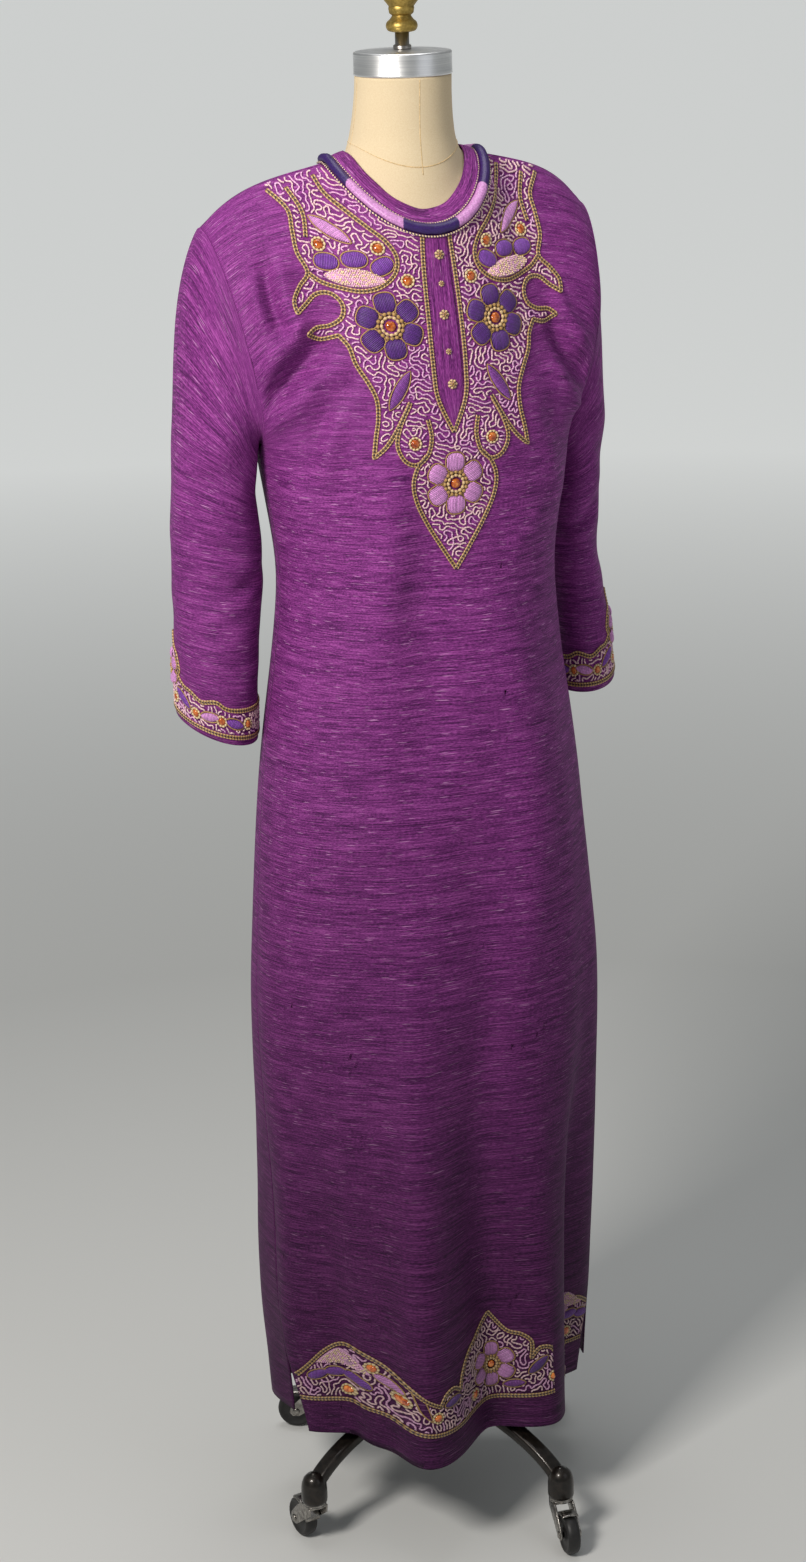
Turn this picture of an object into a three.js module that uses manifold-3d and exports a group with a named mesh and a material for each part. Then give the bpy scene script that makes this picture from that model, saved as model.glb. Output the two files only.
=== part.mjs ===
// Silk kaftan with couched embroidery, worn by a limbless dress form on a castered stand.
// Millimetres, +Z up. The pole stands on X = Y = 0, the floor is Z = 0, the front faces -Y
// and the wearer's left is +X.
import * as THREE from 'three';
import { mergeVertices } from 'three/addons/utils/BufferGeometryUtils.js';
import Module from 'manifold-3d';

const wasm = await Module();
wasm.setup();

// Driving sizes of the garment
const CLOTH = 1.6;
const SEAM = 0.3;
const HEM_Z = 130;
const CHEST_Z = 1271;
const SLIT_TOP = 275;
const FRONT_COLUMNS = { neck: 8, shoulder: 6 };
const BACK_COLUMNS = { neck: 4, shoulder: 6 };
const FORM_COLUMNS = { neck: 4, shoulder: 6 };
const SKIRT_ROWS = 12;
const YOKE_ROWS = 9;
const RIGHT_ANGLE = Math.PI / 2;

// Neckline ring, at the centre of the rolled piping
const NECK = {
  halfWidth: 84, front: 90, back: 82, centreY: 6, frontZ: 1494, sideZ: 1562, backZ: 1546,
  sideSlope: 0.34, frontSlope: 0.95, backSlope: 0.62, share: 0.42,
};
const ROLL_RADIUS = 3.3;
const PANEL_EDGE = ROLL_RADIUS + 0.8;
const BAND_EDGE = -ROLL_RADIUS - 0.4;
const BAND_WIDTH = 17;

// Shoulder seam end and armhole, in the wearer's left half
const ARMHOLE = {
  x: 192, swingX: 20, bowX: 4, y: 22, swingY: 18, halfDepth: 77, z: 1378, halfHeight: 107,
};

// Fullness of the bodice over the bust and the shoulder blades
const SWELL = { front: 15, back: 14 };

// How far each slit edge swings open at the hem, in degrees round the section
const SLIT_OPEN = { right: 15, left: 7, back: 5 };

// Skirt and bodice sections: half width, depth before and behind the side seam, seam place
const SECTIONS = [
  { z: 130, half: 190, front: 132, back: 158, seamY: -18, round: 2.15 },
  { z: 236, half: 196, front: 132, back: 158, seamY: -14, round: 2.15 },
  { z: 364, half: 201, front: 132, back: 152, seamY: -10, round: 2.15 },
  { z: 612, half: 203, front: 138, back: 138, seamY: -6, round: 2.2 },
  { z: 750, half: 196, front: 138, back: 128, seamY: -4, round: 2.2 },
  { z: 916, half: 182, front: 134, back: 116, seamY: 0, round: 2.2 },
  { z: 1060, half: 160, front: 130, back: 98, seamY: 2, round: 2.2 },
  { z: 1130, half: 154, front: 130, back: 94, seamY: 3, round: 2.25 },
  { z: 1200, half: 162, front: 132, back: 104, seamY: 4, round: 2.4 },
  { z: 1271, half: 172, front: 134, back: 112, seamY: 4, round: 2.5 },
];

// Largest hanging folds: angle from centre front, angular width, outward depth, height of origin
const FOLDS = [
  { at: -15, width: 7.5, out: 54, from: 930, lean: 0 },
  { at: -57, width: 11, out: -32, from: 820, lean: -6 },
  { at: 7, width: 7.5, out: -28, from: 820, lean: -8 },
  { at: 24, width: 7, out: 14, from: 900, lean: -17 },
  { at: 64, width: 12, out: -76, from: 800, lean: -16 },
  { at: 115, width: 12, out: 16, from: 900, lean: 8 },
  { at: 146, width: 12, out: -24, from: 960, lean: 6 },
  { at: 180, width: 11, out: 18, from: 1000, lean: 0 },
  { at: -148, width: 11, out: -26, from: 900, lean: -5 },
  { at: -118, width: 11, out: 18, from: 820, lean: -6 },
];

// Sleeve sections from the armhole down; the wearer's right sleeve hangs rounder and further out
const SLEEVES = {
  sleeve_right: {
    side: -1,
    rows: [
      { z: 1290, x: 224, y: 32, halfX: 44, halfY: 68, tilt: 52, drop: 4 },
      { z: 1210, x: 215, y: 36, halfX: 43, halfY: 60, tilt: 20, drop: 3 },
      { z: 1120, x: 217, y: 40, halfX: 39, halfY: 54, tilt: 6, drop: 2 },
      { z: 1040, x: 220, y: 44, halfX: 42, halfY: 54, tilt: 6, drop: 6 },
      { z: 958, x: 219, y: 46, halfX: 43, halfY: 53, tilt: 12, drop: 12 },
    ],
  },
  sleeve_left: {
    side: 1,
    rows: [
      { z: 1290, x: 217, y: 42, halfX: 35, halfY: 70, tilt: 48, drop: 4 },
      { z: 1210, x: 204, y: 54, halfX: 30, halfY: 64, tilt: 18, drop: 3 },
      { z: 1120, x: 197, y: 60, halfX: 28, halfY: 60, tilt: 6, drop: 2 },
      { z: 1040, x: 205, y: 60, halfX: 31, halfY: 58, tilt: 4, drop: 3 },
      { z: 962, x: 215, y: 58, halfX: 35, halfY: 56, tilt: 8, drop: 8 },
    ],
  },
};
const SLEEVE_SIDES = 2 * YOKE_ROWS;
const SLEEVE_ROWS = 11;
const SLEEVE_HEAD = 88;

// Creases of the sleeve: height, place round the arm, size each way and depth
const SLEEVE_CREASES = [
  { z: 1112, at: 70, rise: 26, width: 55, depth: 7 },
  { z: 1235, at: 130, rise: 26, width: 40, depth: 6 },
];

// Cuff band: height at the elbow side and outside, its scallops and the plain edge below it
const CUFF = { edge: 7, low: 36, peak: 58, peakWidth: 34, scallop: 5, scallopTurn: 30 };
// Where each cuff's point is, in degrees round the arm
const CUFF_PEAK_AT = { sleeve_right: -22, sleeve_left: 28 };

// Raised work: clear of the cloth under it, and its height above that cloth
const RAISED = { from: 0.45, to: 2.05, placket: 1.45 };

// Embroidered band above the front hem
const HEM = {
  height: 50, clear: 26, wave: 7, reach: { right: 184, left: 180 },
  peakX: 14, peak: 84, peakWidth: 15, motif: 50, motifFrom: 118, motifRise: 26,
};

// Padded motifs of the yoke's right and left halves, and knotted buttons down the placket
const MOTIFS = {
  flower: { x: 58, z: 1408, radius: 33 },
  pendant: { x: 0, z: 1240, radius: 35 },
  almonds: [
    { x: 84, z: 1455, halfLength: 26, halfWidth: 9, turned: 0.2 },
    { x: 112, z: 1497, halfLength: 26, halfWidth: 9, turned: 0.95 },
    { x: 55, z: 1348, halfLength: 27, halfWidth: 8, turned: 1.25 },
  ],
  stones: [
    { x: 45, z: 1284, radius: 7.5 },
    { x: 46, z: 1445, radius: 6.5 },
    { x: 118, z: 1474, radius: 6.5 },
  ],
};
const BUTTONS = [
  { z: 1470, radius: 5 },
  { z: 1441, radius: 3 },
  { z: 1410, radius: 5 },
  { z: 1373, radius: 3 },
  { z: 1340, radius: 5 },
];

// Dress form and stand
const FORM_NECK = [
  { z: 1583, radius: 56, y: 8 },
  { z: 1605, radius: 53, y: 5 },
  { z: 1628, radius: 51.3, y: 2 },
];
const NECK_TOP = { z: 1646.7, radius: 51, y: 0 };
const CAP = { radius: 52, height: 24, dome: 1.5, edge: 1.2 };
const FORM_GAP = 1.3;
const FORM_BOTTOM = 800;
const POLE_RADIUS = 11;
const BASE = {
  hubRadius: 27, hubLow: 106, hubHigh: 200, collar: 17,
  legReach: 200, legWidth: 20, legHeight: 14, bossRadius: 15, bossLow: 56, bossHigh: 92,
};
const CASTER = { wheelRadius: 23, wheelWidth: 15, axleRadius: 3, trail: 30, sides: 16 };

function material(color, roughness, metalness = 0) {
  return new THREE.MeshStandardMaterial({ color, roughness, metalness });
}
const FINISH = {
  silk: material(0x6b2a70, 0.5),
  satin: material(0xb48cc8, 0.35),
  knot: material(0x3a1745, 0.5),
  thread: material(0xa879a6, 0.7),
  canvas: material(0xecd6b0, 0.85),
  aluminium: material(0xb9babd, 0.35, 1),
  steel: material(0x9a9a98, 0.3, 1),
  brass: material(0x9a8352, 0.4, 1),
  iron: material(0x1e1c1a, 0.45, 0.6),
  tyre: material(0x191919, 0.6),
};

const clamp01 = (t) => Math.min(1, Math.max(0, t));
const smooth = (t) => clamp01(t) ** 2 * (3 - 2 * clamp01(t));
const mix = (a, b, t) => a + (b - a) * t;
const bell = (distance, width) => Math.exp(-0.5 * (distance / width) ** 2);
const signedPower = (value, power) => Math.sign(value) * Math.abs(value) ** power;
const degrees = (angle) => (angle * 180) / Math.PI;
const point = (x, y, z) => new THREE.Vector3(x, y, z);

// Value of one column of a table of rows, eased between its rows
function sample(rows, z, column) {
  const up = rows[0].z < rows[rows.length - 1].z;
  const ordered = up ? rows : [...rows].reverse();
  if (z <= ordered[0].z) return ordered[0][column];
  for (let i = 1; i < ordered.length; i += 1) {
    if (z <= ordered[i].z) {
      const before = ordered[Math.max(0, i - 2)];
      const low = ordered[i - 1];
      const high = ordered[i];
      const after = ordered[Math.min(ordered.length - 1, i + 1)];
      const span = high.z - low.z;
      const t = (z - low.z) / span;
      const slopeLow = ((high[column] - before[column]) / (high.z - before.z)) * span;
      const slopeHigh = ((after[column] - low[column]) / (after.z - low.z)) * span;
      const t2 = t * t;
      const t3 = t2 * t;
      return (2 * t3 - 3 * t2 + 1) * low[column] + (t3 - 2 * t2 + t) * slopeLow
        + (3 * t2 - 2 * t3) * high[column] + (t3 - t2) * slopeHigh;
    }
  }
  return ordered[ordered.length - 1][column];
}

// Shortest way between two angles in degrees
function turn(from, to) {
  return ((((to - from) % 360) + 540) % 360) - 180;
}

// Outward move of the cloth by its folds, at an angle in degrees and a height
function foldDepth(angle, z) {
  let depth = 0;
  for (const fold of FOLDS) {
    const centre = fold.at + (fold.lean * (z - HEM_Z)) / 1000;
    const fade = smooth((fold.from - z) / (fold.from - HEM_Z)) ** 1.25;
    depth += fold.out * fade * bell(turn(centre, angle), fold.width);
  }
  return depth;
}

// Point of the garment's section at a height; angle 0 is centre front, +90 degrees the left seam
function sectionPoint(angle, z, folded = true) {
  const half = sample(SECTIONS, z, 'half');
  const seamY = sample(SECTIONS, z, 'seamY');
  const power = 2 / sample(SECTIONS, z, 'round');
  const depth = sample(SECTIONS, z, Math.cos(angle) >= 0 ? 'front' : 'back');
  const x = half * signedPower(Math.sin(angle), power);
  const y = -depth * signedPower(Math.cos(angle), power);
  const radius = Math.hypot(x, y);
  const grow = 1 + (folded ? foldDepth(degrees(angle), z) / radius : 0);
  return point(x * grow, seamY + y * grow, z);
}

// Fall of the form's surface away from the neck, per unit outward
function necklineSlope(angle) {
  const forward = Math.cos(angle);
  return mix(NECK.sideSlope, forward >= 0 ? NECK.frontSlope : NECK.backSlope, Math.abs(forward));
}

// Neckline ring at an angle from centre front, moved outward over the form by a distance
function necklinePoint(angle, outward) {
  const forward = Math.cos(angle);
  const depth = forward >= 0 ? NECK.front : NECK.back;
  const lowZ = forward >= 0 ? NECK.frontZ : NECK.backZ;
  const z = mix(NECK.sideZ, lowZ, Math.abs(forward) ** 1.5) - outward * necklineSlope(angle);
  return point((NECK.halfWidth + outward) * Math.sin(angle), NECK.centreY - (depth + outward) * forward, z);
}

// Armhole seam; turn 0 is the shoulder end, +90 degrees the front, 180 degrees the underarm
function armholePoint(side, angle) {
  const x = ARMHOLE.x + ARMHOLE.swingX * Math.cos(angle) + ARMHOLE.bowX * Math.sin(angle) ** 2;
  const y = ARMHOLE.y + ARMHOLE.swingY * Math.cos(angle) - ARMHOLE.halfDepth * Math.sin(angle);
  return point(side * x, y, ARMHOLE.z + ARMHOLE.halfHeight * Math.cos(angle));
}

// Shoulder seam from the neck to the shoulder end, level at first and then rolling over
function shoulderPoint(side, t) {
  const neckEnd = necklinePoint(RIGHT_ANGLE, PANEL_EDGE);
  const armEnd = armholePoint(1, 0);
  const roll = 0.55 * t + 0.45 * t ** 4;
  const y = mix(neckEnd.y, armEnd.y, t ** 1.4);
  return point(side * mix(neckEnd.x, armEnd.x, t), y, mix(neckEnd.z, armEnd.z, roll));
}

// Top edge of a panel: the neckline, then the shoulder seam
function topEdge(facing, across) {
  const away = Math.min(1, Math.abs(across));
  const side = Math.sign(across) || 1;
  if (away > NECK.share) return shoulderPoint(side, (away - NECK.share) / (1 - NECK.share));
  const neckAngle = (away / NECK.share) * RIGHT_ANGLE;
  return necklinePoint(side * (facing < 0 ? neckAngle : Math.PI - neckAngle), PANEL_EDGE);
}

// The same edge with its corner at the neck softened, for the cloth further down
function softTopEdge(facing, across) {
  const reach = 0.3 * (1 - Math.abs(across));
  const sum = point(0, 0, 0);
  const samples = [-1, -0.5, 0, 0.5, 1];
  for (const share of samples) sum.add(topEdge(facing, across + share * reach));
  return sum.divideScalar(samples.length);
}

// Front (facing -1) or back (facing +1) panel; across runs from -1 to 1, and up from 0 at the hem
// to 1 at the chest and 2 at the neckline and shoulders
function panelPoint(facing, across, up, folded = true) {
  const front = facing < 0;
  const away = Math.abs(across);
  const side = Math.sign(across) || 1;
  const frontOpen = across < 0 ? SLIT_OPEN.right : SLIT_OPEN.left;
  const slitAngle = front ? frontOpen : SLIT_OPEN.back;
  if (up <= 1) {
    const z = mix(HEM_Z, CHEST_Z, up);
    const open = slitAngle * smooth((SLIT_TOP - z) / (SLIT_TOP - HEM_Z)) * away ** 3;
    const turned = (front ? across * 90 : 180 - across * 90) + (front ? -side : side) * open;
    return sectionPoint((turned * Math.PI) / 180, z, folded);
  }
  const w = up - 1;
  const low = panelPoint(facing, across, 1, folded);
  const top = softTopEdge(facing, across).lerp(topEdge(facing, across), w ** 3);
  const seam = armholePoint(side, (front ? 1 : -1) * Math.PI * (1 - w));
  const corner = panelPoint(facing, side, 1, folded);
  const chord = corner.lerp(armholePoint(side, 0), w);
  const pull = away ** 2.6;
  const result = low.lerp(top, w).addScaledVector(seam.sub(chord), pull);
  const swell = (front ? SWELL.front : SWELL.back) * Math.sin(Math.PI * w) * (1 - away ** 4);
  result.y += facing * swell;
  return result;
}

// Outward direction of a two-way surface at a place
function surfaceNormal(surface, s, t, outwards) {
  const step = 0.004;
  const alongS = surface(s + step, t).sub(surface(s - step, t));
  const alongT = surface(s, t + step).sub(surface(s, t - step));
  return alongS.cross(alongT).normalize().multiplyScalar(outwards);
}

const frontSurface = (s, t) => panelPoint(-1, s, Math.min(t, 2));
const backSurface = (s, t) => panelPoint(1, s, Math.min(t, 2));
const frontNormal = (s, t) => surfaceNormal(frontSurface, s, Math.min(t, 1.99), 1);
const backNormal = (s, t) => surfaceNormal(backSurface, s, Math.min(t, 1.99), -1);

// Closed geometry from lists of corner points of its triangles, with shared corners merged
function closedGeometry(corners) {
  const positions = [];
  for (let i = 0; i < corners.length; i += 3) {
    const [a, b, c] = [corners[i], corners[i + 1], corners[i + 2]];
    const flat = a.distanceTo(b) < 1e-3 || b.distanceTo(c) < 1e-3 || c.distanceTo(a) < 1e-3;
    if (!flat) positions.push(a.x, a.y, a.z, b.x, b.y, b.z, c.x, c.y, c.z);
  }
  const geometry = new THREE.BufferGeometry();
  geometry.setAttribute('position', new THREE.Float32BufferAttribute(positions, 3));
  return mergeVertices(geometry, 1e-3);
}

// Closed wall between an outer and an inner grid of points; a wrapped grid closes round a tube
function wallGeometry(outer, inner, wrapped = false) {
  const corners = [];
  const quad = (a, b, c, d) => corners.push(a, b, c, a, c, d);
  const columns = outer.length;
  const rows = outer[0].length;
  const last = wrapped ? columns : columns - 1;
  for (let i = 0; i < last; i += 1) {
    const next = (i + 1) % columns;
    for (let j = 0; j < rows - 1; j += 1) {
      quad(outer[i][j], outer[next][j], outer[next][j + 1], outer[i][j + 1]);
      quad(inner[i][j], inner[i][j + 1], inner[next][j + 1], inner[next][j]);
    }
    quad(outer[i][0], inner[i][0], inner[next][0], outer[next][0]);
    quad(outer[i][rows - 1], outer[next][rows - 1], inner[next][rows - 1], inner[i][rows - 1]);
  }
  if (!wrapped) {
    const end = columns - 1;
    for (let j = 0; j < rows - 1; j += 1) {
      quad(outer[0][j], outer[0][j + 1], inner[0][j + 1], inner[0][j]);
      quad(outer[end][j], inner[end][j], inner[end][j + 1], outer[end][j + 1]);
    }
  }
  return closedGeometry(corners);
}

// Places across a panel: even columns under the neckline, then even columns under the shoulder
function columnPlaces({ neck, shoulder }) {
  const half = [];
  for (let i = 1; i <= neck; i += 1) half.push((NECK.share * i) / neck);
  for (let i = 1; i <= shoulder; i += 1) half.push(mix(NECK.share, 1, i / shoulder));
  return [...half.map((place) => -place).reverse(), 0, ...half];
}

// Heights along a panel: even rows up the skirt, then even rows up the bodice
function panelRows() {
  const rows = [];
  for (let j = 0; j <= SKIRT_ROWS; j += 1) rows.push(j / SKIRT_ROWS);
  for (let j = 1; j <= YOKE_ROWS; j += 1) rows.push(1 + j / YOKE_ROWS);
  return rows;
}

// Direction into the cloth's thickness: shared at the seams, so that neighbours stay parallel
function inwardDirection(facing, across, up) {
  const side = Math.sign(across);
  const atSide = Math.abs(across) > 0.999;
  const away = Math.abs(across);
  if (up > 1.999 && away > NECK.share - 0.01) return point(-side * 0.25, 0, -1).normalize();
  if (atSide && up > 1) {
    const armholeCentre = point(side * ARMHOLE.x, ARMHOLE.y, ARMHOLE.z);
    return armholeCentre.sub(panelPoint(facing, across, up)).normalize();
  }
  if (atSide && up === 1) return point(-side, 0, 1).normalize();
  if (atSide && up > SLIT_TOP / CHEST_Z) return point(-side, 0, 0);
  const normal = facing < 0 ? frontNormal(across, up) : backNormal(across, up);
  return normal.negate();
}

function panelGeometry(facing, columns) {
  const outer = [];
  const inner = [];
  const rows = panelRows();
  for (const column of columnPlaces(columns)) {
    const across = -facing * column;
    const outerColumn = [];
    const innerColumn = [];
    for (const up of rows) {
      const place = panelPoint(facing, across, up);
      const nearSeam = Math.abs(across) > 0.999 || (up > 1.999 && Math.abs(across) > NECK.share - 0.01);
      if (nearSeam) place.y += (facing * SEAM) / 2 + facing * 0.05;
      outerColumn.push(place);
      innerColumn.push(place.clone().addScaledVector(inwardDirection(facing, across, up), CLOTH));
    }
    outer.push(outerColumn);
    inner.push(innerColumn);
  }
  return wallGeometry(outer, inner);
}

// Sleeve surface: turn round the arm and length 0 to 1 from the armhole to the cuff
function sleevePoint(name, turned, along) {
  const { side, rows } = SLEEVES[name];
  const seam = armholePoint(side, turned);
  seam.x += side * 2 * SEAM;
  const first = rows[0].z + SLEEVE_HEAD;
  const z = mix(first, rows[rows.length - 1].z, along);
  const halfX = sample(rows, z, 'halfX');
  const halfY = sample(rows, z, 'halfY');
  const round = point(
    side * (sample(rows, z, 'x') + halfX * Math.cos(turned)),
    sample(rows, z, 'y') - halfY * Math.sin(turned),
    z + sample(rows, z, 'tilt') * Math.cos(turned) - sample(rows, z, 'drop') * Math.sin(turned),
  );
  for (const crease of SLEEVE_CREASES) {
    const across = bell(turn(crease.at, degrees(turned)), crease.width);
    const dent = crease.depth * bell(z - crease.z, crease.rise) * across;
    round.x -= side * dent * Math.cos(turned);
    round.y += dent * Math.sin(turned);
  }
  return seam.lerp(round, smooth(along / 0.3));
}

function sleeveNormal(name, turned, along) {
  const surface = (s, t) => sleevePoint(name, s, t);
  return surfaceNormal(surface, turned, Math.min(along, 0.996), SLEEVES[name].side);
}

function sleeveGeometry(name) {
  const { side } = SLEEVES[name];
  const outer = [];
  const inner = [];
  const armholeCentre = point(side * ARMHOLE.x, ARMHOLE.y, ARMHOLE.z);
  for (let i = 0; i < SLEEVE_SIDES; i += 1) {
    const turned = (-side * 2 * Math.PI * i) / SLEEVE_SIDES;
    outer.push([]);
    inner.push([]);
    for (let j = SLEEVE_ROWS; j >= 0; j -= 1) {
      const along = (j / SLEEVE_ROWS) ** 1.15;
      const place = sleevePoint(name, turned, along);
      const inward = j === 0
        ? armholeCentre.clone().sub(place).setX(0).normalize()
        : sleeveNormal(name, turned, along).negate();
      outer[i].push(place);
      inner[i].push(place.clone().addScaledVector(inward, CLOTH));
    }
  }
  return wallGeometry(outer, inner, true);
}

// Flat bias band that lies on the form inside the rolled piping
function neckBandGeometry() {
  const outer = [];
  const inner = [];
  const sides = 36;
  const rings = 1;
  for (let i = 0; i < sides; i += 1) {
    const angle = (2 * Math.PI * i) / sides;
    outer.push([]);
    inner.push([]);
    for (let j = 0; j <= rings; j += 1) {
      const outward = BAND_EDGE - (BAND_WIDTH * j) / rings;
      const place = necklinePoint(angle, outward);
      const slope = necklineSlope(angle);
      const inward = point(-Math.sin(angle) * slope, Math.cos(angle) * slope, -1).normalize();
      outer[i].push(place.clone().addScaledVector(inward, 0.2));
      inner[i].push(place.clone().addScaledVector(inward, 0.2 + CLOTH));
    }
  }
  return wallGeometry(outer, inner, true);
}

// Rolled piping: a round roll along the neckline ring
function neckRollGeometry() {
  const corners = [];
  const sides = 36;
  const facets = 7;
  const ringPoint = (i, k) => {
    const angle = (2 * Math.PI * i) / sides;
    const around = (2 * Math.PI * k) / facets;
    const centre = necklinePoint(angle, 0);
    const out = necklinePoint(angle, 1).sub(necklinePoint(angle, -1)).normalize();
    const along = necklinePoint(angle + 0.01, 0).sub(necklinePoint(angle - 0.01, 0)).normalize();
    const up = out.clone().cross(along).normalize();
    const lift = up.z < 0 ? -1 : 1;
    centre.addScaledVector(out, ROLL_RADIUS * Math.cos(around));
    return centre.addScaledVector(up, lift * (ROLL_RADIUS * Math.sin(around) + ROLL_RADIUS - CLOTH));
  };
  for (let i = 0; i < sides; i += 1) {
    for (let k = 0; k < facets; k += 1) {
      const a = ringPoint(i, k);
      const b = ringPoint((i + 1) % sides, k);
      const c = ringPoint((i + 1) % sides, (k + 1) % facets);
      const d = ringPoint(i, (k + 1) % facets);
      corners.push(a, b, c, a, c, d);
    }
  }
  return closedGeometry(corners);
}

// Solid for joins and cuts
function toManifold(geometry) {
  const bare = geometry.clone();
  bare.deleteAttribute('normal');
  bare.deleteAttribute('uv');
  const merged = mergeVertices(bare, 1e-3);
  return new wasm.Manifold(new wasm.Mesh({
    numProp: 3,
    vertProperties: new Float32Array(merged.attributes.position.array),
    triVerts: new Uint32Array(merged.index.array),
  }));
}

function fromManifold(solid) {
  const mesh = solid.getMesh();
  const geometry = new THREE.BufferGeometry();
  geometry.setAttribute('position', new THREE.BufferAttribute(new Float32Array(mesh.vertProperties), 3));
  geometry.setIndex(new THREE.BufferAttribute(new Uint32Array(mesh.triVerts), 1));
  return geometry;
}

function join(pieces) {
  return fromManifold(pieces.map(toManifold).reduce((whole, piece) => whole.add(piece)));
}

// Place on the front panel that lies at a distance from centre front and a height
function frontPlace(x, z) {
  let s = x / 185;
  let t = z > CHEST_Z ? 1 + (z - CHEST_Z) / 250 : (z - HEM_Z) / (CHEST_Z - HEM_Z);
  const step = 1e-3;
  for (let round = 0; round < 12; round += 1) {
    const here = frontSurface(s, t);
    const bys = frontSurface(s + step, t).sub(here).divideScalar(step);
    const byt = frontSurface(s, t + step).sub(here).divideScalar(step);
    const missX = x - here.x;
    const missZ = z - here.z;
    const det = bys.x * byt.z - byt.x * bys.z;
    s += clampStep((missX * byt.z - byt.x * missZ) / det, 0.2);
    t += clampStep((bys.x * missZ - bys.z * missX) / det, 0.2);
    t = Math.min(t, 1.985);
  }
  return { s, t };
}

function clampStep(value, most) {
  return Math.max(-most, Math.min(most, value));
}

// Stands a small piece, modelled about the origin with +Z outward and +Y up, on the front panel
function seatOnFront(geometry, x, z, turned = 0, lift = 1.5) {
  const { s, t } = frontPlace(x, z);
  const out = frontNormal(s, t);
  const place = frontSurface(s, t).addScaledVector(out, lift);
  const up = point(0, 0, 1).addScaledVector(out, -out.z).normalize();
  const right = up.clone().cross(out);
  const frame = new THREE.Matrix4().makeBasis(right, up, out).setPosition(place);
  return geometry.applyMatrix4(new THREE.Matrix4().makeRotationZ(turned)).applyMatrix4(frame);
}

// Low raised form over an outline given by its radius at each angle, with a flat crown
function raisedForm(radiusAt, sides, height, crown = 0.62) {
  const corners = [];
  const ring = (share, z) => {
    const points = [];
    for (let i = 0; i < sides; i += 1) {
      const angle = (2 * Math.PI * i) / sides;
      const radius = radiusAt(angle) * share;
      points.push(point(radius * Math.cos(angle), radius * Math.sin(angle), z));
    }
    return points;
  };
  const foot = ring(1, 0);
  const edge = ring(crown, height);
  const bottom = point(0, 0, 0);
  const top = point(0, 0, height);
  for (let i = 0; i < sides; i += 1) {
    const next = (i + 1) % sides;
    corners.push(bottom, foot[next], foot[i]);
    corners.push(foot[i], foot[next], edge[next]);
    corners.push(foot[i], edge[next], edge[i]);
    corners.push(edge[i], edge[next], top);
  }
  return closedGeometry(corners);
}

const stone = (radius, height = 4.6) => raisedForm(() => radius, 8, height, 0.55);
const almond = (halfLength, halfWidth, height = 3.4) => raisedForm((angle) => {
  const slim = Math.hypot(Math.cos(angle) / halfLength, Math.abs(Math.sin(angle)) / halfWidth);
  return 1 / slim;
}, 10, height, 0.5);
const rosette = (radius, height = 3.4) => raisedForm(
  (angle) => radius * (0.84 + 0.16 * Math.cos(6 * (angle - RIGHT_ANGLE))),
  24,
  height,
  0.72,
);

// Part of the front panel raised between two heights above it, made from the panel's own points;
// it stops a share of a column short of the side seams
function frontShell(from, to, lowUp, highUp, endShare) {
  const outer = [];
  const inner = [];
  const columns = columnPlaces(FRONT_COLUMNS);
  const last = columns.length - 1;
  const rows = panelRows().filter((up) => up > lowUp && up < highUp);
  const raise = (index, up, height) => {
    const place = frontSurface(columns[index], up);
    return place.addScaledVector(frontNormal(columns[index], up), height);
  };
  for (let i = 0; i <= last; i += 1) {
    const inside = i === 0 ? 1 : last - 1;
    const atEnd = i === 0 || i === last;
    const column = (height) => rows.map((up) => {
      const place = raise(i, up, height);
      return atEnd ? place.lerp(raise(inside, up, height), endShare) : place;
    });
    outer.push(column(to));
    inner.push(column(from));
  }
  return wallGeometry(outer, inner);
}

// Straight prism over an outline seen from the front
function frontPrism(shape, curveSegments = 5) {
  const geometry = new THREE.ExtrudeGeometry(shape, { depth: 330, bevelEnabled: false, curveSegments });
  geometry.rotateX(RIGHT_ANGLE);
  geometry.translate(0, 60, 0);
  return geometry;
}

// Outline of the yoke: points out from centre front to the shoulder, down its outer edge,
// round the hooks and drops, to the tip of the pendant; mirrored for the other half
function yokeOutline() {
  const half = (shape, side, run) => {
    for (const step of side > 0 ? run : [...run].reverse()) shape.lineTo(side * step[0], step[1]);
  };
  const bay = { x: 120, z: 1428, radius: 14 };
  const upper = [
    [0, 1600], [176, 1600], [166, 1532], [152, 1500], [148, 1466], [142, 1446], [152, 1424], [140, 1412],
  ];
  const arc = [];
  for (let k = 0; k <= 6; k += 1) {
    const angle = mix(-0.9, -3.9, k / 6);
    arc.push([bay.x + bay.radius * Math.cos(angle) + 8, bay.z + bay.radius * Math.sin(angle)]);
  }
  const lower = [
    [114, 1400], [102, 1392], [97, 1366], [84, 1338], [81, 1312], [87, 1273], [66, 1300], [43, 1328],
    [58, 1304], [58, 1280], [48, 1261], [38, 1276], [46, 1250], [46, 1226], [34, 1196], [16, 1166],
    [0, 1147],
  ];
  const run = [...upper, ...arc.reverse(), ...lower];
  const shape = new THREE.Shape();
  shape.moveTo(run[0][0], run[0][1]);
  half(shape, 1, run.slice(1));
  half(shape, -1, run.slice(1, -1));
  shape.closePath();
  return shape;
}

// Plain strip down the centre front, ending in a point
function placketOutline(margin) {
  const shape = new THREE.Shape();
  const widest = 14 + margin;
  shape.moveTo(-11 - margin, 1600);
  shape.lineTo(-widest, 1398);
  shape.quadraticCurveTo(-widest, 1345, 0, 1297 - 2.4 * margin);
  shape.quadraticCurveTo(widest, 1345, widest, 1398);
  shape.lineTo(11 + margin, 1600);
  shape.closePath();
  return shape;
}

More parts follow.
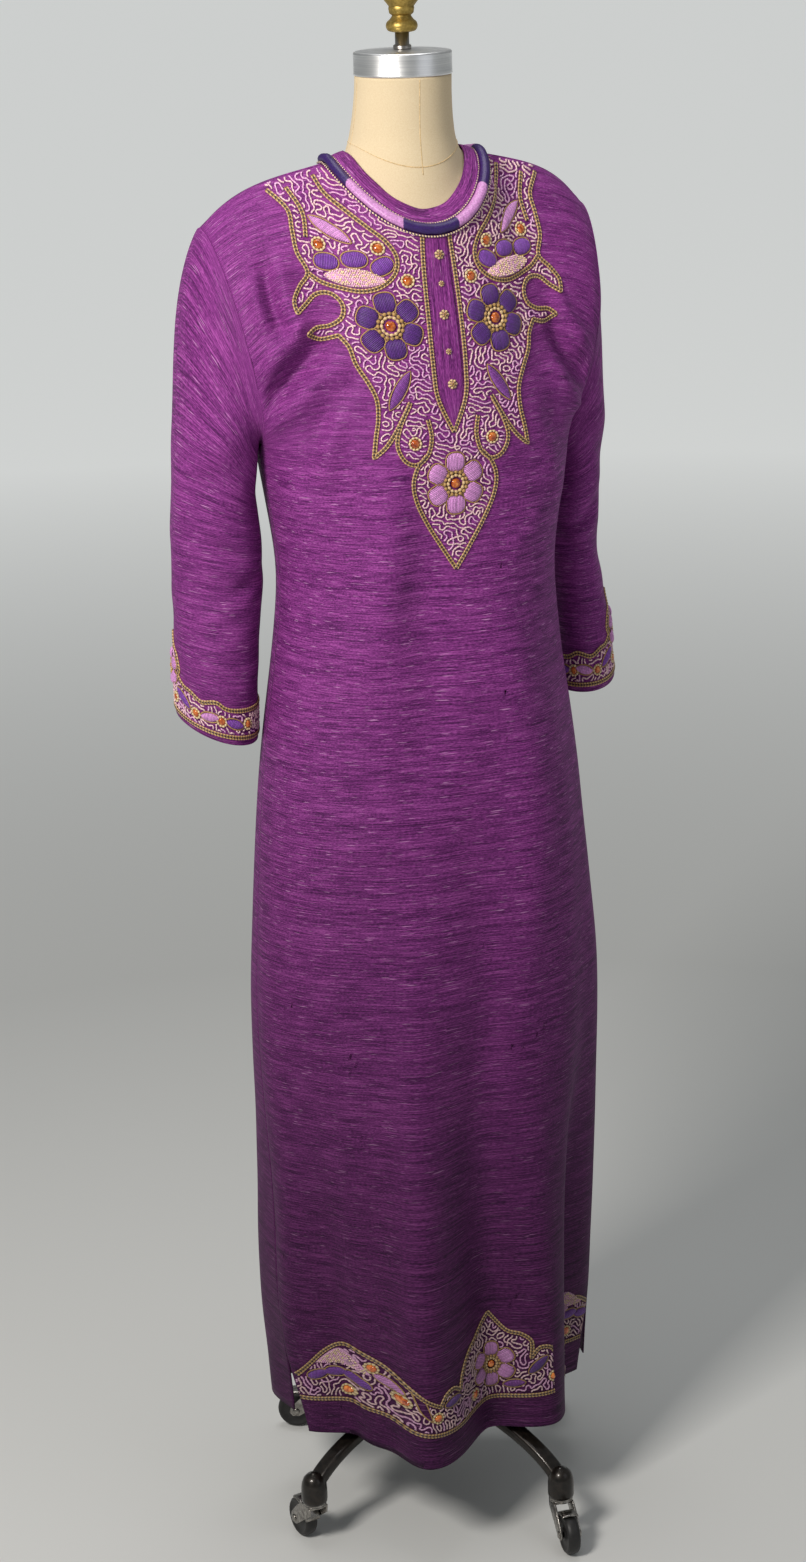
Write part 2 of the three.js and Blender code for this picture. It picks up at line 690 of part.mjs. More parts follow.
function yokeGeometry() {
  const shell = toManifold(frontShell(RAISED.from, RAISED.to, 0.8, 2.1, 0.3));
  let yoke = shell.intersect(toManifold(frontPrism(yokeOutline())));
  yoke = yoke.subtract(toManifold(frontPrism(placketOutline(SEAM + 0.1))));
  const add = (geometry) => {
    yoke = yoke.add(toManifold(geometry));
  };
  for (const side of [-1, 1]) {
    add(seatOnFront(rosette(MOTIFS.flower.radius), side * MOTIFS.flower.x, MOTIFS.flower.z));
    for (const leaf of MOTIFS.almonds) {
      add(seatOnFront(almond(leaf.halfLength, leaf.halfWidth), side * leaf.x, leaf.z, side * leaf.turned));
    }
    for (const bead of MOTIFS.stones) add(seatOnFront(stone(bead.radius), side * bead.x, bead.z));
  }
  add(seatOnFront(rosette(MOTIFS.pendant.radius), MOTIFS.pendant.x, MOTIFS.pendant.z));
  return fromManifold(yoke);
}

function placketGeometry() {
  const shell = toManifold(frontShell(RAISED.from, RAISED.placket, 0.9, 2.1, 0.3));
  return fromManifold(shell.intersect(toManifold(frontPrism(placketOutline(0)))));
}

// Knotted button on the placket
function knotGeometry(radius, z) {
  const knot = new THREE.SphereGeometry(radius, 8, 5);
  knot.rotateX(RIGHT_ANGLE);
  knot.scale(1, 1, 0.8);
  return seatOnFront(knot, 0, z, 0, RAISED.placket + SEAM + radius * 0.8);
}

// Hem band's upper edge: low between motifs, a tall peak at centre front, higher at the side motifs
function hemTop(x) {
  const peak = HEM.peak * bell(x - HEM.peakX, HEM.peakWidth);
  const sideMotif = HEM.motif * smooth((Math.abs(x) - HEM.motifFrom) / HEM.motifRise);
  return HEM_Z + HEM.height + peak + sideMotif;
}

function hemGeometry() {
  const shape = new THREE.Shape();
  const steps = 48;
  const xAt = (k) => mix(-HEM.reach.right, HEM.reach.left, k / steps);
  shape.moveTo(xAt(0), HEM_Z + HEM.clear);
  for (let k = 1; k <= steps; k += 4) shape.lineTo(xAt(k), HEM_Z + HEM.clear - (k % 8 === 1 ? HEM.wave : 0));
  for (let k = steps; k >= 0; k -= 1) shape.lineTo(xAt(k), hemTop(xAt(k)));
  shape.closePath();
  const shell = toManifold(frontShell(RAISED.from + 0.15, RAISED.to + 0.15, -0.1, 0.3, 0));
  return fromManifold(shell.intersect(toManifold(frontPrism(shape))));
}

// Cuff band, rising to a point on the outside of the arm; made from the sleeve's columns and
// the middles between them
function cuffGeometry(name) {
  const { side, rows } = SLEEVES[name];
  const length = rows[0].z + SLEEVE_HEAD - rows[rows.length - 1].z;
  const sides = 2 * SLEEVE_SIDES;
  const high = (i) => {
    const off = turn(CUFF_PEAK_AT[name], degrees((-side * 2 * Math.PI * i) / sides));
    const scallop = CUFF.scallop * Math.cos((off * Math.PI) / CUFF.scallopTurn);
    return CUFF.low + CUFF.peak * bell(off, CUFF.peakWidth) + scallop;
  };
  const raise = (i, above, height) => {
    const turned = (-side * 2 * Math.PI * i) / sides;
    const along = 1 - above / length;
    return sleevePoint(name, turned, along).addScaledVector(sleeveNormal(name, turned, along), height);
  };
  const column = (i, height) => [0, 1, 2].map((j) => {
    const above = mix(CUFF.edge, high(i), j / 2);
    if (i % 2 === 0) return raise(i, above, height);
    return raise(i - 1, above, height).lerp(raise(i + 1, above, height), 0.5);
  });
  const outer = [];
  const inner = [];
  for (let i = 0; i < sides; i += 1) {
    outer.push(column(i, RAISED.to + 0.15));
    inner.push(column(i, RAISED.from + 0.15));
  }
  return wallGeometry(outer, inner, true);
}

// Dress form: smooth torso under the shoulders of the garment, narrower at the waist
function formPoint(facing, across, level) {
  if (level <= 1) {
    const z = mix(FORM_BOTTOM, CHEST_Z, level);
    const waist = bell(z - 1110, 90) * 0.13;
    const share = mix(0.87, 0.9, level) - waist;
    const angle = facing < 0 ? across * RIGHT_ANGLE : Math.PI - across * RIGHT_ANGLE;
    const edge = sectionPoint(angle, z, false);
    const seamY = sample(SECTIONS, z, 'seamY');
    return point(edge.x * share, seamY + (edge.y - seamY) * share, z);
  }
  const w = level - 1;
  const side = Math.sign(across);
  const away = Math.abs(across);
  const skin = panelPoint(facing, across, level, false);
  if (w > 0.999 && away > NECK.share - 0.01) {
    skin.x -= side * 9 * smooth((away - 0.6) / 0.4);
    skin.z -= CLOTH + FORM_GAP + 0.5 + 12 * smooth((away - 0.75) / 0.25);
    return skin;
  }
  const inside = Math.min(0.97, away) * side;
  const normal = facing < 0 ? frontNormal(inside, level) : backNormal(inside, level);
  const underNeckline = w > 0.999 ? 1.2 : 0;
  const near = CLOTH + FORM_GAP + underNeckline;
  const easing = 14 * smooth((0.55 - w) / 0.5) + 9 * smooth((away - 0.7) / 0.3);
  skin.addScaledVector(normal, -(near + easing));
  if (away > 0.999) {
    const centre = point(side * ARMHOLE.x, ARMHOLE.y, ARMHOLE.z);
    skin.lerp(centre, 0.08);
    skin.x -= side * 4;
  }
  return skin;
}

function torsoGeometry() {
  const columns = columnPlaces(FORM_COLUMNS);
  const last = columns.length - 1;
  const lowLevels = 5;
  const levels = [];
  for (let j = 0; j <= lowLevels; j += 1) levels.push(j / lowLevels);
  for (let j = 1; j <= YOKE_ROWS; j += 1) levels.push(1 + j / YOKE_ROWS);
  const top = levels.length - 1;
  const front = columns.map((across) => levels.map((level) => formPoint(-1, across, level)));
  const back = columns.map((across) => levels.map((level) => formPoint(1, across, level)));
  for (const i of [0, last]) {
    for (let j = 0; j <= lowLevels; j += 1) back[i][j].copy(front[i][j]);
  }
  columns.forEach((across, i) => {
    if (Math.abs(across) > NECK.share - 0.01) back[i][top].copy(front[i][top]);
  });
  const corners = [];
  const quad = (a, b, c, d) => corners.push(a, b, c, a, c, d);
  for (let i = 0; i < last; i += 1) {
    for (let j = 0; j < top; j += 1) {
      quad(front[i][j], front[i + 1][j], front[i + 1][j + 1], front[i][j + 1]);
      quad(back[i + 1][j], back[i][j], back[i][j + 1], back[i + 1][j + 1]);
    }
    quad(front[i][0], back[i][0], back[i + 1][0], front[i + 1][0]);
    quad(front[i][top], front[i + 1][top], back[i + 1][top], back[i][top]);
  }
  for (let j = 0; j < top; j += 1) {
    quad(back[0][j], front[0][j], front[0][j + 1], back[0][j + 1]);
    quad(front[last][j], back[last][j], back[last][j + 1], front[last][j + 1]);
  }
  return closedGeometry(corners);
}

// Neck of the form: flares from under the neckline to the round neck, which leans forward a little
function neckGeometry() {
  const sides = 36;
  const rings = [];
  const ring = (placeAt) => {
    const points = [];
    for (let i = 0; i < sides; i += 1) points.push(placeAt((2 * Math.PI * i) / sides));
    rings.push(points);
  };
  const depth = CLOTH + FORM_GAP;
  const under = (angle, outward, below) => {
    const slope = necklineSlope(angle);
    const inward = point(-Math.sin(angle) * slope, Math.cos(angle) * slope, -1).normalize();
    return necklinePoint(angle, outward).addScaledVector(inward, below);
  };
  ring((angle) => under(angle, -14, 55));
  ring((angle) => under(angle, -3, depth + 1));
  ring((angle) => under(angle, BAND_EDGE, depth + 0.2));
  ring((angle) => under(angle, BAND_EDGE - BAND_WIDTH, depth + 0.2));
  for (const level of [...FORM_NECK, NECK_TOP]) {
    ring((angle) => point(level.radius * Math.sin(angle), level.y - level.radius * Math.cos(angle), level.z));
  }
  const corners = [];
  const low = point(0, 0, 1470);
  const high = point(0, NECK_TOP.y, NECK_TOP.z);
  const last = rings.length - 1;
  for (let i = 0; i < sides; i += 1) {
    const next = (i + 1) % sides;
    corners.push(low, rings[0][next], rings[0][i]);
    for (let k = 0; k < last; k += 1) {
      corners.push(rings[k][i], rings[k][next], rings[k + 1][next]);
      corners.push(rings[k][i], rings[k + 1][next], rings[k + 1][i]);
    }
    corners.push(rings[last][i], rings[last][next], high);
  }
  return closedGeometry(corners);
}

// Turned piece from a profile of radius and height pairs that starts and ends on the axis
function turned(profile, segments) {
  const outline = profile.map(([radius, z]) => new THREE.Vector2(radius, z));
  const geometry = new THREE.LatheGeometry(outline, segments);
  geometry.rotateX(RIGHT_ANGLE);
  return geometry;
}

const group = new THREE.Group();
function addPiece(name, geometry, finish, parent = group) {
  const mesh = new THREE.Mesh(geometry, finish);
  mesh.name = name;
  parent.add(mesh);
  return mesh;
}

addPiece('front_panel', panelGeometry(-1, FRONT_COLUMNS), FINISH.silk);
addPiece('back_panel', panelGeometry(1, BACK_COLUMNS), FINISH.silk);
addPiece('neck_band', neckBandGeometry(), FINISH.silk);
addPiece('neck_roll', neckRollGeometry(), FINISH.satin);
for (const name of Object.keys(SLEEVES)) {
  addPiece(name, sleeveGeometry(name), FINISH.silk);
  addPiece(name.replace('sleeve', 'cuff_embroidery'), cuffGeometry(name), FINISH.thread);
}
addPiece('yoke_embroidery', yokeGeometry(), FINISH.thread);
addPiece('hem_embroidery', hemGeometry(), FINISH.thread);
addPiece('placket', placketGeometry(), FINISH.silk);
BUTTONS.forEach((button, index) => {
  addPiece(`knot_button_${index + 1}`, knotGeometry(button.radius, button.z), FINISH.knot);
});

// Form, cap, stub, finial and its screw
addPiece('form_torso', join([torsoGeometry(), neckGeometry()]), FINISH.canvas);
const capLow = NECK_TOP.z + SEAM;
const capHigh = capLow + CAP.height;
addPiece('neck_cap', turned([
  [0, capLow], [CAP.radius, capLow], [CAP.radius, capHigh - CAP.edge],
  [CAP.radius - CAP.edge, capHigh], [20, capHigh + CAP.dome], [0, capHigh + CAP.dome],
], 36), FINISH.aluminium);
const stubLow = capHigh + CAP.dome + SEAM;
addPiece('finial_stub', turned([[0, stubLow], [9.5, stubLow], [9.5, stubLow + 4], [7.4, stubLow + 5],
  [7.4, stubLow + 17], [0, stubLow + 17]], 16), FINISH.steel);
const finialLow = stubLow + 17 + SEAM;
addPiece('finial', turned([
  [0, finialLow], [12, finialLow], [16.5, finialLow + 4], [16.5, finialLow + 8], [12, finialLow + 12],
  [9.5, finialLow + 18], [13, finialLow + 24], [19.5, finialLow + 33], [21, finialLow + 42],
  [18, finialLow + 51], [9, finialLow + 58], [9, finialLow + 65], [5, finialLow + 72], [0, finialLow + 73],
], 16), FINISH.brass);
const screw = turned([[0, 0], [2.6, 0], [2.6, 9], [6.5, 10], [6.5, 15], [0, 16]], 10);
screw.rotateY(RIGHT_ANGLE);
screw.translate(21.4, 0, finialLow + 42);
addPiece('thumb_screw', screw, FINISH.iron);

// Pole, hub with four arched legs, and four casters
addPiece('stand_pole', turned([
  [0, BASE.hubHigh + SEAM], [POLE_RADIUS, BASE.hubHigh + SEAM],
  [POLE_RADIUS, FORM_BOTTOM - SEAM], [0, FORM_BOTTOM - SEAM],
], 14), FINISH.iron);

function legGeometry(angle) {
  const arch = new THREE.CubicBezierCurve3(
    point(12, 0, 124), point(90, 0, 132), point(BASE.legReach - 24, 0, 106), point(BASE.legReach, 0, 74),
  );
  const halfWidth = BASE.legWidth / 2;
  const halfHeight = BASE.legHeight / 2;
  const section = new THREE.Shape();
  section.moveTo(-halfHeight, -halfWidth);
  section.lineTo(halfHeight, -halfWidth);
  section.lineTo(halfHeight, halfWidth);
  section.lineTo(-halfHeight, halfWidth);
  section.closePath();
  const leg = new THREE.ExtrudeGeometry(section, { steps: 9, bevelEnabled: false, extrudePath: arch });
  leg.rotateZ(angle);
  return leg;
}

const LEG_ANGLES = [25, 115, 205, 295].map((angle) => (angle * Math.PI) / 180);
const basePieces = [turned([
  [0, BASE.hubLow], [BASE.hubRadius - 4, BASE.hubLow], [BASE.hubRadius, BASE.hubLow + 6],
  [BASE.hubRadius, BASE.hubHigh - 22], [BASE.collar, BASE.hubHigh - 12],
  [BASE.collar, BASE.hubHigh], [0, BASE.hubHigh],
], 20)];
for (const angle of LEG_ANGLES) {
  basePieces.push(legGeometry(angle));
  const boss = turned([
    [0, BASE.bossLow], [BASE.bossRadius, BASE.bossLow], [BASE.bossRadius, BASE.bossHigh - 8],
    [BASE.bossRadius - 5, BASE.bossHigh - 2], [0, BASE.bossHigh],
  ], 14);
  boss.translate(BASE.legReach * Math.cos(angle), BASE.legReach * Math.sin(angle), 0);
  basePieces.push(boss);
}
addPiece('base_casting', join(basePieces), FINISH.iron);

// Caster fork: a top plate under the boss, two cheeks and the axle, all in one piece with a hood
function forkGeometry() {
  const { trail, wheelRadius, wheelWidth, axleRadius } = CASTER;
  const top = BASE.bossLow - SEAM;
  const inside = wheelWidth / 2 + 2;
  const plate = turned([[0, top - 5], [13, top - 5], [13, top], [0, top]], 14);
  const cheek = new THREE.Shape();
  cheek.moveTo(-9, top - 3);
  cheek.lineTo(11, top - 3);
  cheek.lineTo(trail + 7, wheelRadius + 4);
  cheek.lineTo(trail + 7, wheelRadius - 6);
  cheek.lineTo(trail - 7, wheelRadius - 6);
  cheek.lineTo(-9, top - 14);
  cheek.closePath();
  const cheeks = [-1, 1].map((side) => {
    const plateSide = new THREE.ExtrudeGeometry(cheek, { depth: 3, bevelEnabled: false });
    plateSide.rotateX(RIGHT_ANGLE);
    plateSide.translate(0, side > 0 ? inside + 3 : -inside, 0);
    return plateSide;
  });
  const bridge = new THREE.BoxGeometry(20, 2 * inside + 2, 5);
  bridge.translate(0, 0, top - 3.5);
  const axle = new THREE.CylinderGeometry(axleRadius, axleRadius, 2 * inside + 2, 10);
  axle.translate(trail, 0, wheelRadius);
  return join([plate, ...cheeks, bridge, axle]);
}

function wheelGeometry() {
  const { trail, wheelRadius, wheelWidth, axleRadius, sides } = CASTER;
  const half = wheelWidth / 2;
  const facet = wheelRadius / Math.cos(Math.PI / sides);
  const bore = axleRadius + 0.4;
  const wheel = new THREE.LatheGeometry([
    [bore, -half], [bore, half], [facet - 3, half], [facet, half - 3],
    [facet, 3 - half], [facet - 3, -half], [bore, -half],
  ].reverse().map(([radius, along]) => new THREE.Vector2(radius, along)), sides);
  wheel.rotateY(Math.PI / sides);
  wheel.translate(trail, 0, wheelRadius);
  return wheel;
}

// Way each caster trails from its leg end, in degrees
const TRAILS = [60, 155, 100, -95];
LEG_ANGLES.forEach((angle, index) => {
  const caster = new THREE.Group();
  caster.position.set(BASE.legReach * Math.cos(angle), BASE.legReach * Math.sin(angle), 0);
  caster.rotation.z = (TRAILS[index] * Math.PI) / 180;
  group.add(caster);
  addPiece(`caster_fork_${index + 1}`, forkGeometry(), FINISH.iron, caster);
  addPiece(`caster_wheel_${index + 1}`, wheelGeometry(), FINISH.tyre, caster);
});

// The model stands centred over its own box
group.updateMatrixWorld(true);
const whole = new THREE.Box3().setFromObject(group, true);
group.position.set(-(whole.min.x + whole.max.x) / 2, -(whole.min.y + whole.max.y) / 2, -whole.min.z);

export default group;
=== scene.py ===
"""Silk kaftan with couched embroidery, worn by a limbless dress form on a castered stand.

Garment sizes are in millimetres about the stand's pole, with the front towards -Y and the
wearer's left towards +X; place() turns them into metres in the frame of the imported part.
"""
import logging
import math
from dataclasses import dataclass, field
from enum import Enum

import bmesh
import bpy
import numpy as np
from bmesh.types import BMesh
from bpy.types import Material, Mesh, Node, NodeSocket, NodeTree, Object
from mathutils import Matrix, Vector


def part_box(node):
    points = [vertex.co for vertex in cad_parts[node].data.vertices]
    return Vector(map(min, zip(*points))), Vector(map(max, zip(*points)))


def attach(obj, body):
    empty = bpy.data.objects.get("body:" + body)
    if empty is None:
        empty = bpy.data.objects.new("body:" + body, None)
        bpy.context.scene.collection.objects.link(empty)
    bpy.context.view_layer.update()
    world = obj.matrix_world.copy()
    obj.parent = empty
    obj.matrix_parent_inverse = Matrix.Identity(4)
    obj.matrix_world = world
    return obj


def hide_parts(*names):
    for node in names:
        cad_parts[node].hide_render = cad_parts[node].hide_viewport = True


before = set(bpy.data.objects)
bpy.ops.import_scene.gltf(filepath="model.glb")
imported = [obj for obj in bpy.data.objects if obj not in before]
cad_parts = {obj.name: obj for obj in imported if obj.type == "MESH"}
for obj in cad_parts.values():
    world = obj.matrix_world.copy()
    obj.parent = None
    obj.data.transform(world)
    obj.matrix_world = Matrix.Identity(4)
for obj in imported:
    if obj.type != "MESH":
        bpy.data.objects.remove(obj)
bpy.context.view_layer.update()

LOG = logging.getLogger("kaftan")
MM = 0.001
RIGHT_ANGLE = math.pi / 2
FULL_TURN = 2 * math.pi
WELD = 1e-6
Array = np.ndarray
Point = tuple[float, float]


def pole_centre() -> Array:
    """Returns: the place of the stand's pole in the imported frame, in metres."""
    low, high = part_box("stand_pole")
    return np.array([(low[0] + high[0]) / 2, (low[1] + high[1]) / 2, 0.0])


SHIFT = pole_centre()


def place(points: Array) -> Array:
    """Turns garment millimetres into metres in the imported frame.

    Args:
        points: an array of points in millimetres about the pole.

    Returns:
        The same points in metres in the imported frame.
    """
    return np.asarray(points, dtype=float) * MM + SHIFT


def bell(distance: Array, width: float) -> Array:
    """Returns: a smooth bump of height 1 at distance 0, with a given half width."""
    return np.exp(-0.5 * (distance / width) ** 2)


def smooth(t: Array) -> Array:
    """Returns: t eased from 0 to 1."""
    t = np.clip(t, 0.0, 1.0)
    return t * t * (3.0 - 2.0 * t)


def mix(a: Array, b: Array, t: Array) -> Array:
    """Returns: the value a share t of the way from a to b."""
    return a + (b - a) * t


def signed_power(value: Array, power: Array) -> Array:
    """Returns: a power of a value that keeps its sign."""
    return np.sign(value) * np.abs(value) ** power


def turn(start: Array, end: Array) -> Array:
    """Returns: the shortest way between two angles in degrees."""
    return (np.mod(end - start, 360.0) + 540.0) % 360.0 - 180.0


def unit(vectors: Array) -> Array:
    """Returns: the vectors at length 1."""
    length = np.linalg.norm(vectors, axis=-1, keepdims=True)
    return vectors / np.maximum(length, 1e-9)


def points_of(x: Array, y: Array, z: Array) -> Array:
    """Returns: one array of points from arrays of coordinates."""
    return np.stack(np.broadcast_arrays(x, y, z), axis=-1).astype(float)


def eased(t: Array, start: Array, end: Array, start_slope: Array, end_slope: Array) -> Array:
    """Returns: a value a share t of the way from start to end, that leaves and arrives at given slopes."""
    t2, t3 = t * t, t * t * t
    ends = (2 * t3 - 3 * t2 + 1) * start + (3 * t2 - 2 * t3) * end
    return ends + (t3 - 2 * t2 + t) * start_slope + (t3 - t2) * end_slope


class Rows:
    """A short table of sizes by height, eased between its rows.

    Args:
        columns: names of the columns, of which the first is z.
        rows: the rows, in any order of height.
    """

    def __init__(self, columns: str, rows: list[tuple[float, ...]]) -> None:
        ordered = np.array(sorted(rows), dtype=float)
        self.z = ordered[:, 0]
        self.columns = {name: ordered[:, i] for i, name in enumerate(columns.split())}

    def at(self, name: str, z: Array) -> Array:
        """Samples a column.

        Args:
            name: the column.
            z: heights in millimetres.

        Returns:
            The column's value at each height.
        """
        values, heights = self.columns[name], self.z
        z = np.asarray(z, dtype=float)
        high = np.clip(np.searchsorted(heights, z, side="left"), 1, len(heights) - 1)
        low = high - 1
        before = np.maximum(low - 1, 0)
        after = np.minimum(high + 1, len(heights) - 1)
        span = heights[high] - heights[low]
        t = np.clip((z - heights[low]) / span, 0.0, 1.0)
        slope_low = (values[high] - values[before]) / (heights[high] - heights[before]) * span
        slope_high = (values[after] - values[low]) / (heights[after] - heights[low]) * span
        return eased(t, values[low], values[high], slope_low, slope_high)


@dataclass(frozen=True)
class Fold:
    """A hanging fold: angle from centre front, angular width, depth, height of origin, lean."""

    at: float
    width: float
    out: float
    start: float
    lean: float


@dataclass(frozen=True)
class Crease:
    """A soft ridge or trough between two places seen from the front, in millimetres."""

    x0: float
    z0: float
    x1: float
    z1: float
    width: float
    out: float

    def depth(self, x: Array, z: Array) -> Array:
        """Samples the crease.

        Args:
            x: places across.
            z: heights.

        Returns:
            How far the cloth moves outward at each place.
        """
        run_x, run_z = self.x1 - self.x0, self.z1 - self.z0
        length = math.hypot(run_x, run_z)
        along = ((x - self.x0) * run_x + (z - self.z0) * run_z) / length**2
        across = ((x - self.x0) * run_z - (z - self.z0) * run_x) / length
        bow = across + 0.06 * length * np.sin(math.pi * np.clip(along, 0, 1))
        ends = smooth(along / 0.3 + 0.2) * smooth((1.0 - along) / 0.45 + 0.2)
        return self.out * bell(bow, self.width) * ends


class Surface:
    """A smoothed grid of points over a two-way surface, with its outward directions.

    Args:
        points: grid of points, columns by rows.
        outwards: 1 or -1, the sign that turns the cross product of the two ways outward.
        passes: how often the grid is smoothed.
        wrapped: whether the last column meets the first.
    """

    def __init__(self, points: Array, outwards: int, passes: int = 0, wrapped: bool = False) -> None:
        self.outwards = outwards
        self.wrapped = wrapped
        for _ in range(passes):
            inner = points.copy()
            inner[1:-1] = (points[:-2] + 2 * points[1:-1] + points[2:]) / 4
            points = inner.copy()
            inner[:, 1:-1] = (points[:, :-2] + 2 * points[:, 1:-1] + points[:, 2:]) / 4
            points = inner
        self.points = points
        self.normals = self._normals()

    def _normals(self) -> Array:
        """Returns: the outward direction at each point of the grid."""
        across = np.gradient(self.points, axis=0)
        if self.wrapped:
            across[0] = across[-1] = self.points[1] - self.points[-2]
        along = np.gradient(self.points, axis=1)
        return unit(np.cross(across, along)) * self.outwards

    def displaced(self, depth: Array) -> "Surface":
        """Moves the grid along its outward directions.

        Args:
            depth: how far each point moves.

        Returns:
            A new surface.
        """
        return Surface(self.points + self.normals * depth[..., None], self.outwards, 2, self.wrapped)

    def at(self, s: Array, t: Array, height: Array | float = 0.0) -> Array:
        """Finds points over the surface.

        Args:
            s: places across, as grid columns.
            t: places along, as grid rows.
            height: distance above the surface.

        Returns:
            A point for each place.
        """
        columns, rows = self.points.shape[:2]
        s = np.clip(s, 0, columns - 1.001)
        t = np.clip(t, 0, rows - 1.001)
        i, j = s.astype(int), t.astype(int)
        a, b = (s - i)[..., None], (t - j)[..., None]

        def pick(grid: Array) -> Array:
            """Returns: a grid's value between its four nearest points."""
            low = grid[i, j] * (1 - a) + grid[i + 1, j] * a
            high = grid[i, j + 1] * (1 - a) + grid[i + 1, j + 1] * a
            return low * (1 - b) + high * b

        return pick(self.points) + unit(pick(self.normals)) * np.asarray(height)[..., None]


@dataclass
class Pattern:
    """The garment's cut on the general figure: sections, neckline, armholes and folds."""

    hem_z: float = 130.0
    chest_z: float = 1271.0
    slit_top: float = 275.0
    half_width: float = 84.0
    neck_front: float = 90.0
    neck_back: float = 82.0
    neck_y: float = 6.0
    front_z: float = 1494.0
    side_z: float = 1562.0
    back_z: float = 1546.0
    slopes: tuple[float, float, float] = (0.34, 0.95, 0.62)
    share: float = 0.42
    roll_radius: float = 3.3
    band_width: float = 17.0
    cloth: float = 1.3
    swell: dict[str, float] = field(default_factory=lambda: {"front": 15.0, "back": 14.0})
    slit_open: dict[str, float] = field(default_factory=lambda: {"right": 15.0, "left": 7.0, "back": 5.0})
    sections: Rows = field(default_factory=lambda: Rows("z half front back seamY round", [
        (130, 190, 132, 158, -18, 2.15), (236, 196, 132, 158, -14, 2.15), (364, 201, 132, 152, -10, 2.15),
        (612, 203, 138, 138, -6, 2.2), (750, 196, 138, 128, -4, 2.2), (916, 182, 134, 116, 0, 2.2),
        (1060, 160, 130, 98, 2, 2.2), (1130, 154, 130, 94, 3, 2.25), (1200, 162, 132, 104, 4, 2.4),
        (1271, 172, 134, 112, 4, 2.5),
    ]))
    folds: tuple[Fold, ...] = (
        Fold(-15, 7.5, 54, 930, 0), Fold(-57, 11, -32, 820, -6), Fold(7, 7.5, -28, 820, -8),
        Fold(24, 7, 14, 900, -17), Fold(64, 12, -76, 800, -16), Fold(115, 12, 16, 900, 8),
        Fold(146, 12, -24, 960, 6), Fold(180, 11, 18, 1000, 0), Fold(-148, 11, -26, 900, -5),
        Fold(-118, 11, 18, 820, -6),
    )

    def fold_depth(self, angle: Array, z: Array) -> Array:
        """Returns: the outward move of the cloth by its folds at angles in degrees and heights."""
        depth = np.zeros(np.broadcast(angle, z).shape)
        for fold in self.folds:
            centre = fold.at + fold.lean * (z - self.hem_z) / 1000
            fade = smooth((fold.start - z) / (fold.start - self.hem_z)) ** 1.25
            depth = depth + fold.out * fade * bell(turn(centre, angle), fold.width)
        return depth

    def section(self, angle: Array, z: Array, folded: bool = True) -> Array:
        """Finds the garment's section.

        Args:
            angle: radians from centre front, +90 degrees at the left seam.
            z: heights.
            folded: whether the hanging folds are in it.

        Returns:
            Points of the section.
        """
        half, seam_y = self.sections.at("half", z), self.sections.at("seamY", z)
        power = 2 / self.sections.at("round", z)
        forward = np.cos(angle)
        depth = np.where(forward >= 0, self.sections.at("front", z), self.sections.at("back", z))
        x = half * signed_power(np.sin(angle), power)
        y = -depth * signed_power(forward, power)
        grow = 1.0
        if folded:
            grow = 1 + self.fold_depth(np.degrees(angle), z) / np.hypot(x, y)
        return points_of(x * grow, seam_y + y * grow, z)

    def neck_slope(self, angle: Array) -> Array:
        """Returns: the fall of the figure away from the neck, for each unit outward."""
        side, front, back = self.slopes
        forward = np.cos(angle)
        return mix(side, np.where(forward >= 0, front, back), np.abs(forward))

    def neckline(self, angle: Array, outward: Array | float) -> Array:
        """Finds the neckline ring.

        Args:
            angle: radians from centre front.
            outward: distance away from the neck, over the figure.

        Returns:
            Points of the ring.
        """
        forward = np.cos(angle)
        depth = np.where(forward >= 0, self.neck_front, self.neck_back)
        low = np.where(forward >= 0, self.front_z, self.back_z)
        z = mix(self.side_z, low, np.abs(forward) ** 1.5) - outward * self.neck_slope(angle)
        return points_of((self.half_width + outward) * np.sin(angle), self.neck_y - (depth + outward) * forward, z)

    def armhole(self, side: Array | int, angle: Array) -> Array:
        """Returns: points of the armhole seam; 0 is the shoulder end and +90 degrees the front."""
        top = np.clip(np.cos(angle), 0, 1) ** 5
        x = 192 + 20 * np.cos(angle) + 4 * np.sin(angle) ** 2 + 3 * top
        y = 22 + 18 * np.cos(angle) - 77 * np.sin(angle)
        return points_of(side * x, y, 1378 + 107 * np.cos(angle) + 13 * top)

    def shoulder(self, side: Array, t: Array) -> Array:
        """Returns: points of the shoulder seam, from the neck at t=0 to the shoulder end at t=1."""
        neck = self.neckline(np.array(RIGHT_ANGLE), self.roll_radius + 0.8)
        arm = self.armhole(1, np.array(0.0))
        roll = 0.47 * t + 0.53 * t**4
        x = side * mix(neck[0], arm[0], t)
        return points_of(x, mix(neck[1], arm[1], t**1.4), mix(neck[2], arm[2], roll))

    def top_edge(self, facing: int, across: Array) -> Array:
        """Returns: points of a panel's top edge, along the neckline and then the shoulder."""
        away = np.clip(np.abs(across), 0, 1)
        side = np.where(across < 0, -1, 1)
        neck_angle = np.clip(away / self.share, 0, 1) * RIGHT_ANGLE
        angle = side * (neck_angle if facing < 0 else math.pi - neck_angle)
        neck = self.neckline(angle, self.roll_radius + 0.8)
        over = np.clip((away - self.share) / (1 - self.share), 0, 1)
        return np.where((away > self.share)[..., None], self.shoulder(side, over), neck)

    def soft_top_edge(self, facing: int, across: Array) -> Array:
        """Returns: the top edge with its corner at the neck softened."""
        reach = 0.3 * (1 - np.abs(across))
        shares = (-1, -0.5, 0, 0.5, 1)
        return sum(self.top_edge(facing, across + share * reach) for share in shares) / len(shares)

